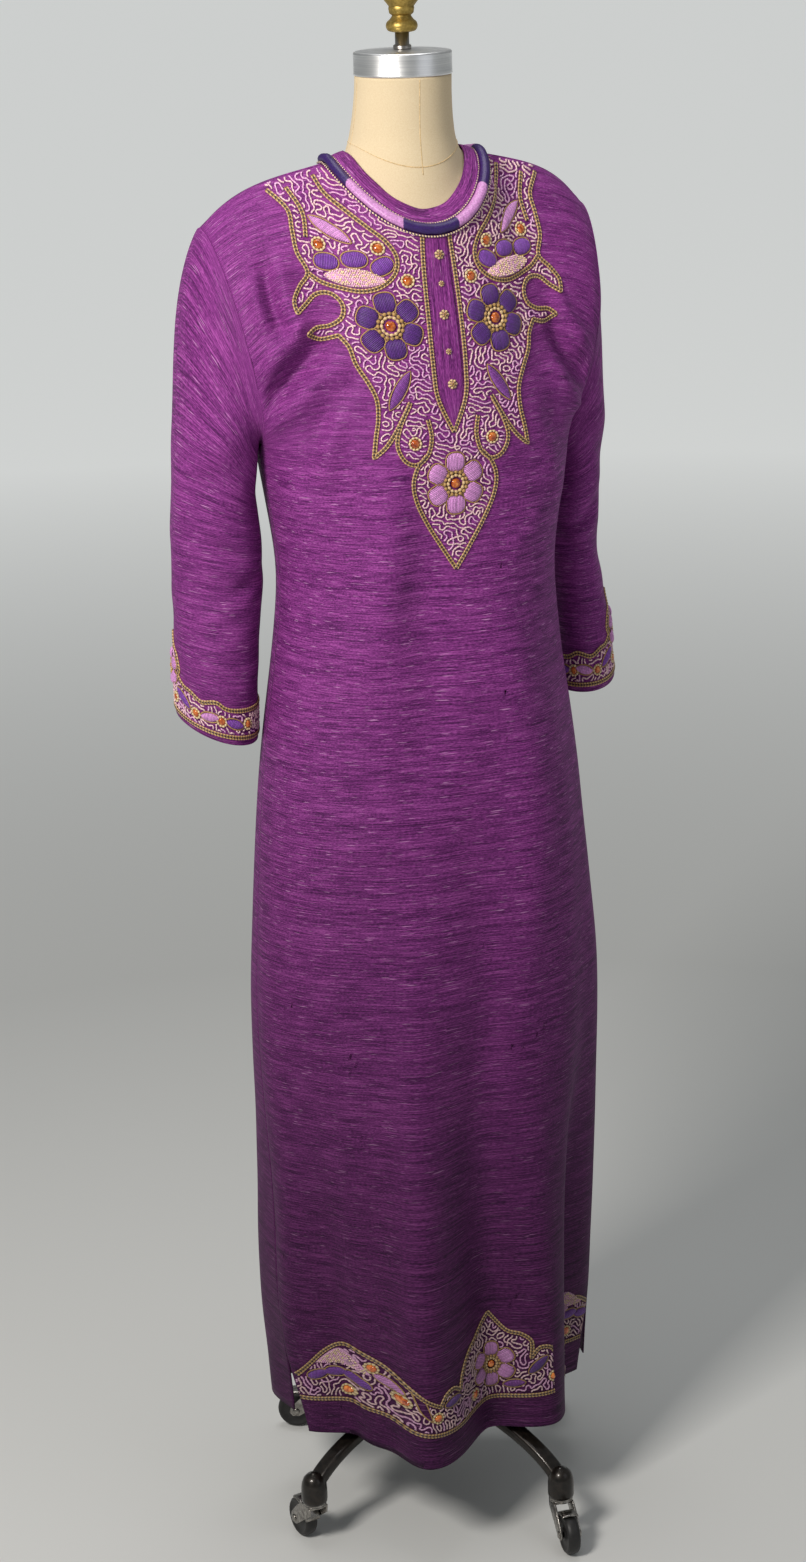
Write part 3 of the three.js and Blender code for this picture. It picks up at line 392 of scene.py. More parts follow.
    def skirt(self, facing: int, across: Array, up: Array) -> Array:
        """Finds a panel below the chest.

        Args:
            facing: -1 for the front, 1 for the back.
            across: -1 to 1, from the wearer's right seam to the left one.
            up: 0 at the hem, 1 at the chest.

        Returns:
            Points of the panel.
        """
        z = mix(self.hem_z, self.chest_z, up)
        away, side = np.abs(across), np.sign(across)
        front_open = np.where(across < 0, self.slit_open["right"], self.slit_open["left"])
        slit = front_open if facing < 0 else self.slit_open["back"]
        opened = slit * smooth((self.slit_top - z) / (self.slit_top - self.hem_z)) * away**3
        if facing < 0:
            turned = across * 90 - side * opened
        else:
            turned = 180 - across * 90 + side * opened
        skirt = self.section(np.radians(turned), z)
        right = np.where(across < 0, away**4, 0)
        skirt[..., 0] += right * 9 * bell(z - 400, 110)
        if facing > 0:
            skirt[..., 0] += right * 15 * smooth((295 - z) / 150)
        return skirt

    def bodice(self, facing: int, across: Array, w: Array) -> Array:
        """Finds a panel above the chest.

        Args:
            facing: -1 for the front, 1 for the back.
            across: -1 to 1, from the wearer's right seam to the left one.
            w: 0 at the chest, 1 at the top edge.

        Returns:
            Points of the panel.
        """
        away = np.abs(across)
        side = np.where(across < 0, -1, 1)
        w3 = w[..., None]
        low = self.skirt(facing, across, np.ones_like(w))
        top = mix(self.soft_top_edge(facing, across), self.top_edge(facing, across), w3**3)
        seam = self.armhole(side, (1 if facing < 0 else -1) * math.pi * (1 - w))
        corner = self.skirt(facing, side.astype(float), np.ones_like(w))
        chord = mix(corner, self.armhole(side, np.zeros_like(w)), w3)
        result = mix(low, top, w3) + (seam - chord) * (away**2.6)[..., None]
        swell = self.swell["front" if facing < 0 else "back"]
        result[..., 1] += facing * swell * np.sin(math.pi * w) * (1 - away**4)
        return result

    def panel(self, facing: int, across: Array, up: Array) -> Array:
        """Finds the front (facing -1) or back (facing 1) panel.

        Args:
            facing: which panel.
            across: -1 to 1, from the wearer's right seam to the left one.
            up: 0 at the hem, 1 at the chest, 2 at the top edge.

        Returns:
            Points of the panel's outer face.
        """
        across, up = (np.array(a, dtype=float) for a in np.broadcast_arrays(across, up))
        low = self.skirt(facing, across, np.clip(up, 0, 1))
        high = self.bodice(facing, across, np.clip(up - 1, 0, 1))
        return np.where((up <= 1)[..., None], low, high)


PATTERN = Pattern()


@dataclass
class Panel:
    """One body panel of the kaftan as a fine surface, with its creases given one by one."""

    facing: int
    columns: int
    skirt_rows: int
    bodice_rows: int
    creases: tuple[tuple[float, ...], ...]

    def __post_init__(self) -> None:
        """Works out the surface."""
        self.across = np.linspace(-1, 1, self.columns + 1)
        low = np.linspace(0, 1, self.skirt_rows + 1)
        high = np.linspace(1, 2, self.bodice_rows + 1)[1:]
        self.up = np.concatenate([low, high])
        grid = PATTERN.panel(self.facing, self.across[:, None], self.up[None, :])
        base = Surface(grid, -self.facing, 6)
        x, z = base.points[..., 0], base.points[..., 2]
        depth = 1.5 * sum(Crease(*row).depth(x, z) for row in self.creases) + self.ripple(x, z)
        edge = smooth((1 - np.abs(self.across)) / 0.07)[:, None]
        self.surface = base.displaced(depth * edge * smooth((2.0 - self.up) / 0.25)[None, :])

    def ripple(self, x: Array, z: Array) -> Array:
        """Returns: the small unevenness of hand-woven silk that has hung for a while."""
        slow = np.sin(x / 47 + 1.3 * np.sin(z / 160)) * np.sin(z / 83 + 0.9 * np.sin(x / 71))
        puckers = np.sin(z / 17 + 2.1 * np.sin(x / 58)) * bell(x + 60 * np.sin(z / 210), 110)
        near_hem = smooth((230 - z) / 90)
        hem = np.sin(x / 9.5 + 1.7 * np.sin(x / 37)) * bell(z - 158, 16)
        return 0.9 * slow + 0.35 * puckers * smooth((1150 - z) / 300) + 0.5 * hem * near_hem

    def find(self, x: Array, z: Array) -> tuple[Array, Array]:
        """Finds the grid places that lie at distances from centre front and at heights.

        Args:
            x: distances from centre front.
            z: heights.

        Returns:
            Columns and rows of the grid.
        """
        x, z = (np.array(a, dtype=float) for a in np.broadcast_arrays(x, z))
        s = (x / 190 + 1) * self.columns / 2
        rise = (z - PATTERN.hem_z) / (PATTERN.chest_z - PATTERN.hem_z)
        t = np.where(z > PATTERN.chest_z, self.skirt_rows + (z - PATTERN.chest_z) / 250 * self.bodice_rows,
                     rise * self.skirt_rows)
        for _ in range(14):
            here = self.surface.at(s, t)
            by_s = self.surface.at(s + 0.5, t) - self.surface.at(s - 0.5, t)
            by_t = self.surface.at(s, t + 0.5) - self.surface.at(s, t - 0.5)
            miss_x, miss_z = x - here[..., 0], z - here[..., 2]
            det = by_s[..., 0] * by_t[..., 2] - by_t[..., 0] * by_s[..., 2]
            det = np.where(np.abs(det) < 1e-3, 1e-3, det)
            s = s + np.clip((miss_x * by_t[..., 2] - by_t[..., 0] * miss_z) / det, -8, 8)
            t = t + np.clip((by_s[..., 0] * miss_z - by_s[..., 2] * miss_x) / det, -8, 8)
            s = np.clip(s, 1, self.columns - 1.5)
            t = np.clip(t, 0, self.skirt_rows + self.bodice_rows - 0.8)
        return s, t

    def over(self, x: Array, z: Array, height: Array | float) -> Array:
        """Returns: points at a height above the panel, by distance from centre front and z."""
        s, t = self.find(x, z)
        return self.surface.at(s, t, np.broadcast_to(height, s.shape))


@dataclass
class Sleeve:
    """One sleeve of the kaftan as a fine tube, from the armhole to the cuff."""

    name: str
    side: int
    rows: Rows
    first_z: float
    last_z: float
    columns: int = 88
    lengths: int = 120

    def __post_init__(self) -> None:
        """Works out the surface."""
        turned = -self.side * np.linspace(0, FULL_TURN, self.columns + 1)
        along = np.linspace(0, 1, self.lengths + 1)
        self.surface = Surface(self.point(turned[:, None], along[None, :]), -1, 2, True)

    @property
    def length(self) -> float:
        """Returns: the sleeve's height from its head to the cuff."""
        return self.first_z - self.last_z

    def creases(self, turned: Array, z: Array) -> Array:
        """Samples the arm's creases.

        Args:
            turned: degrees round the arm, 0 on top and +90 to the front.
            z: heights.

        Returns:
            How far the cloth is pressed in at each place.
        """
        dent = np.zeros(np.broadcast(turned, z).shape)
        table = [
            (1112, 70, 26, 55, 7, 0.3), (1235, 130, 26, 40, 6, 0.3), (1352, 74, 8, 24, 11, -0.35),
            (1326, 104, 15, 20, 11, 0.5), (1334, 60, 10, 24, -6, -0.4), (1290, 118, 20, 26, 7, 0.9),
            (1262, 70, 15, 34, -4, 0.7), (1230, 60, 12, 34, 3, 0.8), (1160, 84, 5.5, 24, 7, -0.3),
            (1142, 96, 7, 28, -4.5, 0), (1122, 114, 6, 24, 6, 0.45), (1100, 80, 10, 36, -3, 0.3),
            (1066, 60, 10, 40, 2.5, 0.4), (1024, 120, 12, 36, -2.5, 0.4), (1190, -80, 18, 50, 4.5, 0.3),
            (1120, -110, 12, 44, 6, 0.3), (1146, -96, 9, 40, -4, 0.2), (1080, -70, 12, 44, -3, 0.4),
            (1240, -120, 16, 44, 4.5, 0.5), (1330, -100, 14, 36, 6, -0.3), (1200, 20, 26, 16, -2.5, 1.4),
        ]
        for height, at, rise, width, depth, slope in table:
            lean = height + slope * turn(at, turned)
            dent = dent + depth * bell(z - lean, rise) * bell(turn(at, turned), width)
        return dent + 0.8 * np.sin(z / 26 + 1.4 * np.sin(np.radians(turned) * 2)) * smooth((1300 - z) / 120)

    def point(self, turned: Array, along: Array) -> Array:
        """Finds the sleeve's outer face.

        Args:
            turned: radians round the arm, 0 on top and +90 degrees to the front.
            along: 0 at the armhole, 1 at the cuff.

        Returns:
            Points of the sleeve.
        """
        turned, along = np.broadcast_arrays(turned, along)
        seam = self.side * np.array([0.6, 0, 0]) + PATTERN.armhole(self.side, turned)
        z = mix(self.first_z, self.last_z, along)
        half_x, half_y = self.rows.at("halfX", z), self.rows.at("halfY", z)
        tilt, drop = self.rows.at("tilt", z), self.rows.at("drop", z)
        dent = self.creases(np.degrees(turned), z)
        x = self.rows.at("x", z) + (half_x - dent) * np.cos(turned)
        y = self.rows.at("y", z) - (half_y - dent) * np.sin(turned)
        shape = points_of(self.side * x, y, z + tilt * np.cos(turned) - drop * np.sin(turned))
        tube = mix(seam, shape, smooth(along / 0.3)[..., None])
        tube[..., 0] = mix(seam[..., 0], shape[..., 0], smooth(along / (0.23 if self.side < 0 else 0.33)))
        return tube

    def over(self, degrees: Array, above: Array, height: Array | float) -> Array:
        """Returns: points above the sleeve, by degrees round it and millimetres above the cuff."""
        share = np.mod(-self.side * np.asarray(degrees, dtype=float), 360) / 360
        s, t = np.broadcast_arrays(share * self.columns, (1 - above / self.length) * self.lengths)
        return self.surface.at(s, t, np.broadcast_to(height, s.shape))


def linear(code: str) -> tuple[float, float, float, float]:
    """Turns an sRGB hex value to linear light.

    Args:
        code: six hex digits after a hash sign.

    Returns:
        Linear red, green, blue and an alpha of 1.
    """
    values = [int(code[i:i + 2], 16) / 255 for i in (1, 3, 5)]
    light = [v / 12.92 if v <= 0.04045 else ((v + 0.055) / 1.055) ** 2.4 for v in values]
    return (light[0], light[1], light[2], 1.0)


def add_node(tree: NodeTree, kind: str, settings: dict | None = None, **inputs: object) -> Node:
    """Adds a shader node with its settings and links.

    Args:
        tree: the material's node tree.
        kind: the node's type without the ShaderNode prefix.
        settings: properties of the node.
        inputs: values or sockets by input name, with underscores for spaces.

    Returns:
        The new node.
    """
    node = tree.nodes.new("ShaderNode" + kind)
    for name, value in (settings or {}).items():
        setattr(node, name, value)
    for name, value in inputs.items():
        digits = name[1:] if name[0] == "i" and name[1:].isdigit() else ""
        socket = node.inputs[int(digits)] if digits else node.inputs[name.replace("_", " ")]
        if isinstance(value, NodeSocket):
            tree.links.new(value, socket)
        else:
            socket.default_value = value
    return node


def new_material(name: str, **inputs: object) -> tuple[Material, NodeTree, Node]:
    """Starts a material.

    Args:
        name: the finish it shows.
        inputs: values of the shader's inputs by name, with underscores for spaces.

    Returns:
        The material, its tree and its surface shader.
    """
    material = bpy.data.materials.new(name)
    material.use_nodes = True
    tree = material.node_tree
    tree.nodes.clear()
    shader = add_node(tree, "BsdfPrincipled", **inputs)
    output = add_node(tree, "OutputMaterial")
    tree.links.new(shader.outputs["BSDF"], output.inputs["Surface"])
    return material, tree, shader


def shaded_by(tree: NodeTree, colour: NodeSocket,
              level: NodeSocket) -> NodeSocket:
    """Returns: a colour made darker or lighter by a level."""
    settings = {"data_type": "RGBA", "blend_type": "MULTIPLY"}
    return add_node(tree, "Mix", settings, Factor=1.0, i6=colour, i7=level).outputs[2]


def relief(tree: NodeTree, shader: Node, height: NodeSocket, strength: float,
           depth_mm: float) -> None:
    """Gives a shader a fine relief from a height, with a depth in millimetres."""
    bump = add_node(tree, "Bump", Height=height, Strength=strength, Distance=depth_mm * MM)
    tree.links.new(bump.outputs["Normal"], shader.inputs["Normal"])


def ramp(tree: NodeTree, factor: NodeSocket,
         stops: list[tuple[float, str]]) -> NodeSocket:
    """Adds a colour ramp.

    Args:
        tree: the material's node tree.
        factor: what the ramp reads.
        stops: places and hex colours.

    Returns:
        The ramp's colour socket.
    """
    node = add_node(tree, "ValToRGB", Fac=factor)
    elements = node.color_ramp.elements
    while len(elements) < len(stops):
        elements.new(0.5)
    for element, (position, code) in zip(elements, stops):
        element.position = position
        element.color = linear(code)
    return node.outputs["Color"]


@dataclass(frozen=True)
class SlubbedSilk:
    """Hand-woven raw silk: dark warp, uneven violet weft with long slubs and a low sheen."""

    name: str = "slubbed_raw_silk"
    deep: str = "#350c3a"
    dark: str = "#521c54"
    mid: str = "#712c70"
    light: str = "#92458d"
    slub: str = "#c08aba"
    thread_mm: float = 1.1
    slub_mm: float = 52.0
    grain_mm: Point = (5.0, 1.0)
    weft_mm: Point = (14.0, 1.6)
    painted_shade: tuple[float, float, float, float] = (0.1, 1.3, 0.27, 1.3)

    def build(self) -> Material:
        """Returns: the material; it reads the piece's own UV map, which is in metres of cloth.

        The cloth is darkened from the shoulders to the hem by painted shade, standing in for the light that
        falls off towards the floor: the painted shade field holds two heights in metres and the level at each.
        """
        material, tree, shader = new_material(
            self.name, Roughness=0.62, Specular_IOR_Level=0.14, Sheen_Weight=0.05, Sheen_Roughness=0.4,
            Sheen_Tint=linear("#d39ad6"))
        uv = add_node(tree, "UVMap").outputs["UV"]

        def streaks(length_mm: float, width_mm: float, detail: float, rough: float = 0.6) -> NodeSocket:
            """Returns: noise drawn out along the weft, from a length and a width."""
            mapped = add_node(tree, "Mapping", Vector=uv, Scale=(1 / length_mm / MM, 1 / width_mm / MM, 1.0))
            return add_node(tree, "TexNoise", Vector=mapped.outputs["Vector"], Scale=1.0, Detail=detail,
                            Roughness=rough).outputs["Fac"]

        broad = streaks(self.slub_mm * 9, self.thread_mm * 7, 2.0)
        fine = streaks(self.slub_mm, self.thread_mm, 3.0)
        grain = streaks(*self.grain_mm, 2.0)
        slubs = streaks(self.slub_mm * 0.6, self.thread_mm * 1.1, 1.0)
        blend = 0.0
        for noise, share in ((broad, 0.17), (fine, 0.5), (grain, 0.33)):
            blend = add_node(tree, "Math", {"operation": "MULTIPLY_ADD"}, i0=noise, i1=share, i2=blend).outputs[0]
        base = ramp(tree, blend, [(0.36, self.deep), (0.45, self.dark), (0.52, self.mid), (0.61, self.light)])
        picks = ramp(tree, slubs, [(0.0, "#000000"), (0.665, "#000000"), (0.72, "#c8c8c8"), (1.0, "#ffffff")])
        lit = add_node(tree, "Mix", {"data_type": "RGBA"}, Factor=picks, i6=base, i7=linear(self.slub)).outputs[2]
        # Painted shade: the colour is darkened by height, from the shoulders down to the hem.
        place_of = add_node(tree, "TexCoord").outputs["Object"]
        low = add_node(tree, "SeparateXYZ", Vector=place_of).outputs["Z"]
        levels = {f"i{k}": value for k, value in enumerate(self.painted_shade, 1)}
        fade = add_node(tree, "MapRange", {"interpolation_type": "SMOOTHSTEP"}, Value=low, **levels).outputs[0]
        tree.links.new(shaded_by(tree, lit, fade), shader.inputs["Base Color"])
        threads = streaks(*self.weft_mm, 3.0, 0.5)
        height = add_node(tree, "Math", {"operation": "MULTIPLY_ADD"}, i0=fine, i1=1.3, i2=threads)
        relief(tree, shader, height.outputs[0], 0.35, 0.6)
        return material


@dataclass(frozen=True)
class Thread:
    """Couched or satin-stitched thread: fine parallel strands, with the colour of each stretch."""

    name: str
    strand_mm: float
    roughness: float
    sheen: float

    def build(self) -> Material:
        """Returns: the material; its colour comes from the mesh's tint attribute.

        Like the silk, it is duller and darker near the hem, from 1 m above the floor down, by painted shade.
        """
        material, tree, shader = new_material(self.name, Roughness=self.roughness, Sheen_Weight=self.sheen)
        tint = add_node(tree, "Attribute", {"attribute_name": "tint"}).outputs["Color"]
        place_of = add_node(tree, "TexCoord").outputs["Object"]
        scale = 1 / (self.strand_mm * 2.5 * MM)
        grain = add_node(tree, "TexNoise", Vector=place_of, Scale=scale, Detail=2.0).outputs["Fac"]
        level = add_node(tree, "MapRange", Value=grain, i1=0.3, i2=0.7, i3=0.7, i4=1.25).outputs[0]
        # Painted shade: the colour darkens from 1 m above the floor down to the hem.
        height = add_node(tree, "SeparateXYZ", Vector=place_of).outputs["Z"]
        painted_low_shade = add_node(tree, "MapRange", Value=height, i1=0.15, i2=1.0, i3=0.55, i4=1.0).outputs[0]
        level = add_node(tree, "Math", {"operation": "MULTIPLY"}, i0=level, i1=painted_low_shade).outputs[0]
        tree.links.new(shaded_by(tree, tint, level), shader.inputs["Base Color"])
        relief(tree, shader, grain, 0.5, self.strand_mm * 0.4)
        return material


@dataclass(frozen=True)
class Solid:
    """A hard finish with fine mottling or brush marks."""

    name: str
    low: str
    high: str
    grain_mm: tuple[float, float, float]
    roughness: float
    metallic: float = 0.0
    bump: float = 0.2
    coat: float = 0.0

    def build(self) -> Material:
        """Returns: the material, with grain in Object coordinates by a size along each axis."""
        material, tree, shader = new_material(self.name, Metallic=self.metallic, Coat_Weight=self.coat)
        place_of = add_node(tree, "TexCoord").outputs["Object"]
        scale = tuple(1 / size / MM for size in self.grain_mm)
        mapped = add_node(tree, "Mapping", Vector=place_of, Scale=scale).outputs["Vector"]
        grain = add_node(tree, "TexNoise", Vector=mapped, Scale=1.0, Detail=4.0).outputs["Fac"]
        tree.links.new(ramp(tree, grain, [(0.3, self.low), (0.7, self.high)]), shader.inputs["Base Color"])
        rough = add_node(tree, "MapRange", Value=grain, i3=self.roughness * 0.8, i4=self.roughness * 1.2)
        tree.links.new(rough.outputs[0], shader.inputs["Roughness"])
        relief(tree, shader, grain, self.bump, 0.4)
        return material


# Couched silk and metal thread, laid in strands: a soft broken gloss.
COUCHED = Thread("couched_thread", 0.5, 0.5, 0.1)
# Satin ribbon wound tight on a cord: smoother than the couching, with a clear gloss.
WOUND = Thread("wound_satin", 0.7, 0.4, 0.0)
# Twisted cord in knots, duller for its twist.
KNOTTED = Thread("knotted_cord", 0.6, 0.55, 0.1)
# Corded seam of the form's cover: dry cotton.
SEAM = Thread("seam_canvas", 0.8, 0.9, 0.0)
# Plain-woven cotton canvas glued over padding: quite matt, with a faint mottle of threads.
CANVAS = Solid("form_canvas", "#d0bb97", "#d9c8a8", (1.1, 1.1, 1.1), 0.92, 0.0, 0.35)
# Spun aluminium, brushed round its axis: long fine lines and a broad highlight.
ALUMINIUM = Solid("brushed_aluminium", "#dedfe0", "#f6f6f5", (60, 60, 0.5), 0.34, 1.0, 0.10)
# Drawn steel rod: fine lines along its length.
STEEL = Solid("drawn_steel", "#8b8783", "#a9a5a0", (0.6, 0.6, 40), 0.3, 1.0, 0.05)
# Cast knob in worn gold paint: metallic, uneven and half dull.
GOLD = Solid("dull_gold", "#8d7638", "#b59a55", (2.5, 2.5, 2.5), 0.42, 0.85, 0.15)
# Blackened steel screw: dark, with a low oily gloss.
SCREW = Solid("blackened_screw", "#141312", "#2b2927", (1.5, 1.5, 1.5), 0.4, 0.8, 0.1)
# Cast iron under black stoving enamel: a rough casting under a clear gloss.
ENAMEL = Solid("black_enamel", "#14110e", "#2a241f", (6, 6, 6), 0.34, 0.55, 0.22, 0.3)
# Pressed steel, plated and darkened: bright, slightly uneven.
PLATED = Solid("dark_plated_steel", "#6a6662", "#aeaaa4", (5, 5, 5), 0.26, 1.0, 0.12)
# Moulded black rubber: matt, with a soft highlight.
RUBBER = Solid("black_rubber", "#0e0e0e", "#1c1b1b", (3, 3, 3), 0.5, 0.0, 0.12)


def finish_mesh(name: str, mesh: Mesh, material: Material, slot: str, body: str = "root",
                replaced: tuple[str, ...] = ()) -> Object:
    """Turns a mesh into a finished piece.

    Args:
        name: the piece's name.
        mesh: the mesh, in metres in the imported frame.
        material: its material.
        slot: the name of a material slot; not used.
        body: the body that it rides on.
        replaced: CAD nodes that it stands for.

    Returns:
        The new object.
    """
    mesh.polygons.foreach_set("use_smooth", [True] * len(mesh.polygons))
    mesh.materials.append(material)
    piece = bpy.data.objects.new(name, mesh)
    bpy.context.scene.collection.objects.link(piece)
    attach(piece, body)
    if replaced:
        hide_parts(*replaced)
    LOG.info("%s: %d faces", name, len(mesh.polygons))
    return piece


def finish_piece(name: str, bm: BMesh, *finish: object) -> Object:
    """Returns: a finished piece from a bmesh, which is freed; the rest is as for finish_mesh."""
    mesh = bpy.data.meshes.new(name)
    bm.to_mesh(mesh)
    bm.free()
    return finish_mesh(name, mesh, *finish)


def laid_grid(points: Array) -> tuple[BMesh, list[tuple[int, int]]]:
    """Lays a grid over points.

    Args:
        points: places in metres, columns by rows.

    Returns:
        The mesh, and the column and row of each of its points.
    """
    columns, rows = points.shape[0] - 1, points.shape[1] - 1
    bm = bmesh.new()
    bmesh.ops.create_grid(bm, x_segments=columns, y_segments=rows, size=1.0, calc_uvs=False)
    spots = [(round((v.co.x + 1) / 2 * columns), round((v.co.y + 1) / 2 * rows)) for v in bm.verts]
    for vert, spot in zip(bm.verts, spots):
        vert.co = points[spot]
    return bm, spots


def sheet_mesh(points: Array, outwards: int, thickness: float, cut: Point,
               wrapped: bool = False) -> BMesh:
    """Makes a sheet of cloth over a grid of points.

    Args:
        points: outer face in garment millimetres, columns by rows.
        outwards: 1 where columns then rows turn anticlockwise seen from outside.
        thickness: wall in millimetres, inward.
        cut: width and length of the cut piece in metres, for the UV map.
        wrapped: whether the last column is the first.

    Returns:
        A closed bmesh with a UV map in metres of cloth.
    """
    bm, spots = laid_grid(place(points))
    layer = bm.loops.layers.uv.new("cloth")
    bm.verts.index_update()
    for face in bm.faces:
        for loop in face.loops:
            i, j = spots[loop.vert.index]
            loop[layer].uv = (i / (points.shape[0] - 1) * cut[0], j / (points.shape[1] - 1) * cut[1])
    if outwards < 0:
        bmesh.ops.reverse_faces(bm, faces=bm.faces[:])
    if wrapped:
        bmesh.ops.remove_doubles(bm, verts=bm.verts[:], dist=WELD)
    bmesh.ops.solidify(bm, geom=bm.faces[:], thickness=thickness * MM)
    return bm


class Viewpoint:
    """The photograph's camera, soft studio lights and the pale floor."""

    focal_px = 3200.0
    frame_px = (806, 1562)
    sensor = 36.0
    place_mm = (-1166.0, -3203.0, 1930.0)
    azimuth = 19.68
    pitch = -17.2
    roll = 1.5
    floor_size = 60.0
    floor_drop = 0.0005
    glow_from = (1.8, 6.2)
    glow = 0.56
    sight = 200.0

    def camera(self) -> None:
        """Adds the camera and makes it the scene's."""
        data = bpy.data.cameras.new("camera")
        data.sensor_width = data.sensor_height = self.sensor
        data.lens = self.focal_px * self.sensor / self.frame_px[1]
        data.clip_end = self.sight
        camera = bpy.data.objects.new("camera", data)
        bpy.context.scene.collection.objects.link(camera)
        turned = Matrix.Rotation(math.radians(-self.azimuth), 4, "Z")
        raised = Matrix.Rotation(math.radians(90 + self.pitch), 4, "X")
        rolled = Matrix.Rotation(math.radians(-self.roll), 4, "Z")
        spot = Matrix.Translation(Vector(place(np.array(self.place_mm))))
        camera.matrix_world = spot @ turned @ raised @ rolled
        bpy.context.scene.camera = camera

    def light(self, name: str, spot: tuple[float, float, float], size: float, power: float, tone: str,
              target: tuple[float, float, float] = (0, 0, 1.1)) -> None:
        """Adds a soft square light.

        Args:
            name: its name.
            spot: its place in metres.
            size: its width in metres.
            power: its strength in watts.
            tone: its colour.
            target: what it looks at, by itself the garment's middle.
        """
        data = bpy.data.lights.new(name, "AREA")
        data.size = size
        data.energy = power
        data.color = linear(tone)[:3]
        lamp = bpy.data.objects.new(name, data)
        lamp.location = spot
        aim = Vector(target) - Vector(spot)
        lamp.rotation_euler = aim.to_track_quat("-Z", "Y").to_euler()
        bpy.context.scene.collection.objects.link(lamp)

    def floor(self) -> None:
        """Adds the floor, which is not part of the object; it glows further off, as a lit backdrop does."""
        bm = bmesh.new()
        bmesh.ops.create_grid(bm, x_segments=1, y_segments=1, size=self.floor_size)
        bmesh.ops.translate(bm, verts=bm.verts[:], vec=(0, 0, -self.floor_drop))
        mesh = bpy.data.meshes.new("floor")
        bm.to_mesh(mesh)
        bm.free()
        floor = bpy.data.objects.new("floor", mesh)
        material, tree, shader = new_material(
            "pale_floor", Roughness=0.9, Base_Color=linear("#d0d1cf"), Emission_Color=linear("#e9ebea"))
        away = add_node(tree, "VectorMath", {"operation": "LENGTH"}, i0=add_node(tree, "TexCoord").outputs["Object"])
        near, far = self.glow_from
        glow = add_node(tree, "MapRange", Value=away.outputs["Value"], i1=near, i2=far, i3=0.0, i4=self.glow)
        tree.links.new(glow.outputs[0], shader.inputs["Emission Strength"])
        mesh.materials.append(material)
        bpy.context.scene.collection.objects.link(floor)

    def build(self) -> None:
        """Builds the camera, the lights, the floor and the even room light."""
        self.camera()
        self.light("key", (-2.0, -1.5, 2.7), 0.7, 84, "#fffaf4", (0, 0, 1.3))
        self.light("fill", (1.9, -2.8, 2.4), 2.2, 7, "#f4f6ff")
        self.light("top", (0.1, 0.3, 3.3), 1.4, 20, "#ffffff")
        self.floor()
        world = bpy.data.worlds.new("room")
        world.use_nodes = True
        world.node_tree.nodes["Background"].inputs["Color"].default_value = linear("#dfe2e2")
        world.node_tree.nodes["Background"].inputs["Strength"].default_value = 0.31
        bpy.context.scene.world = world
        bpy.context.scene.view_settings.view_transform = "Standard"


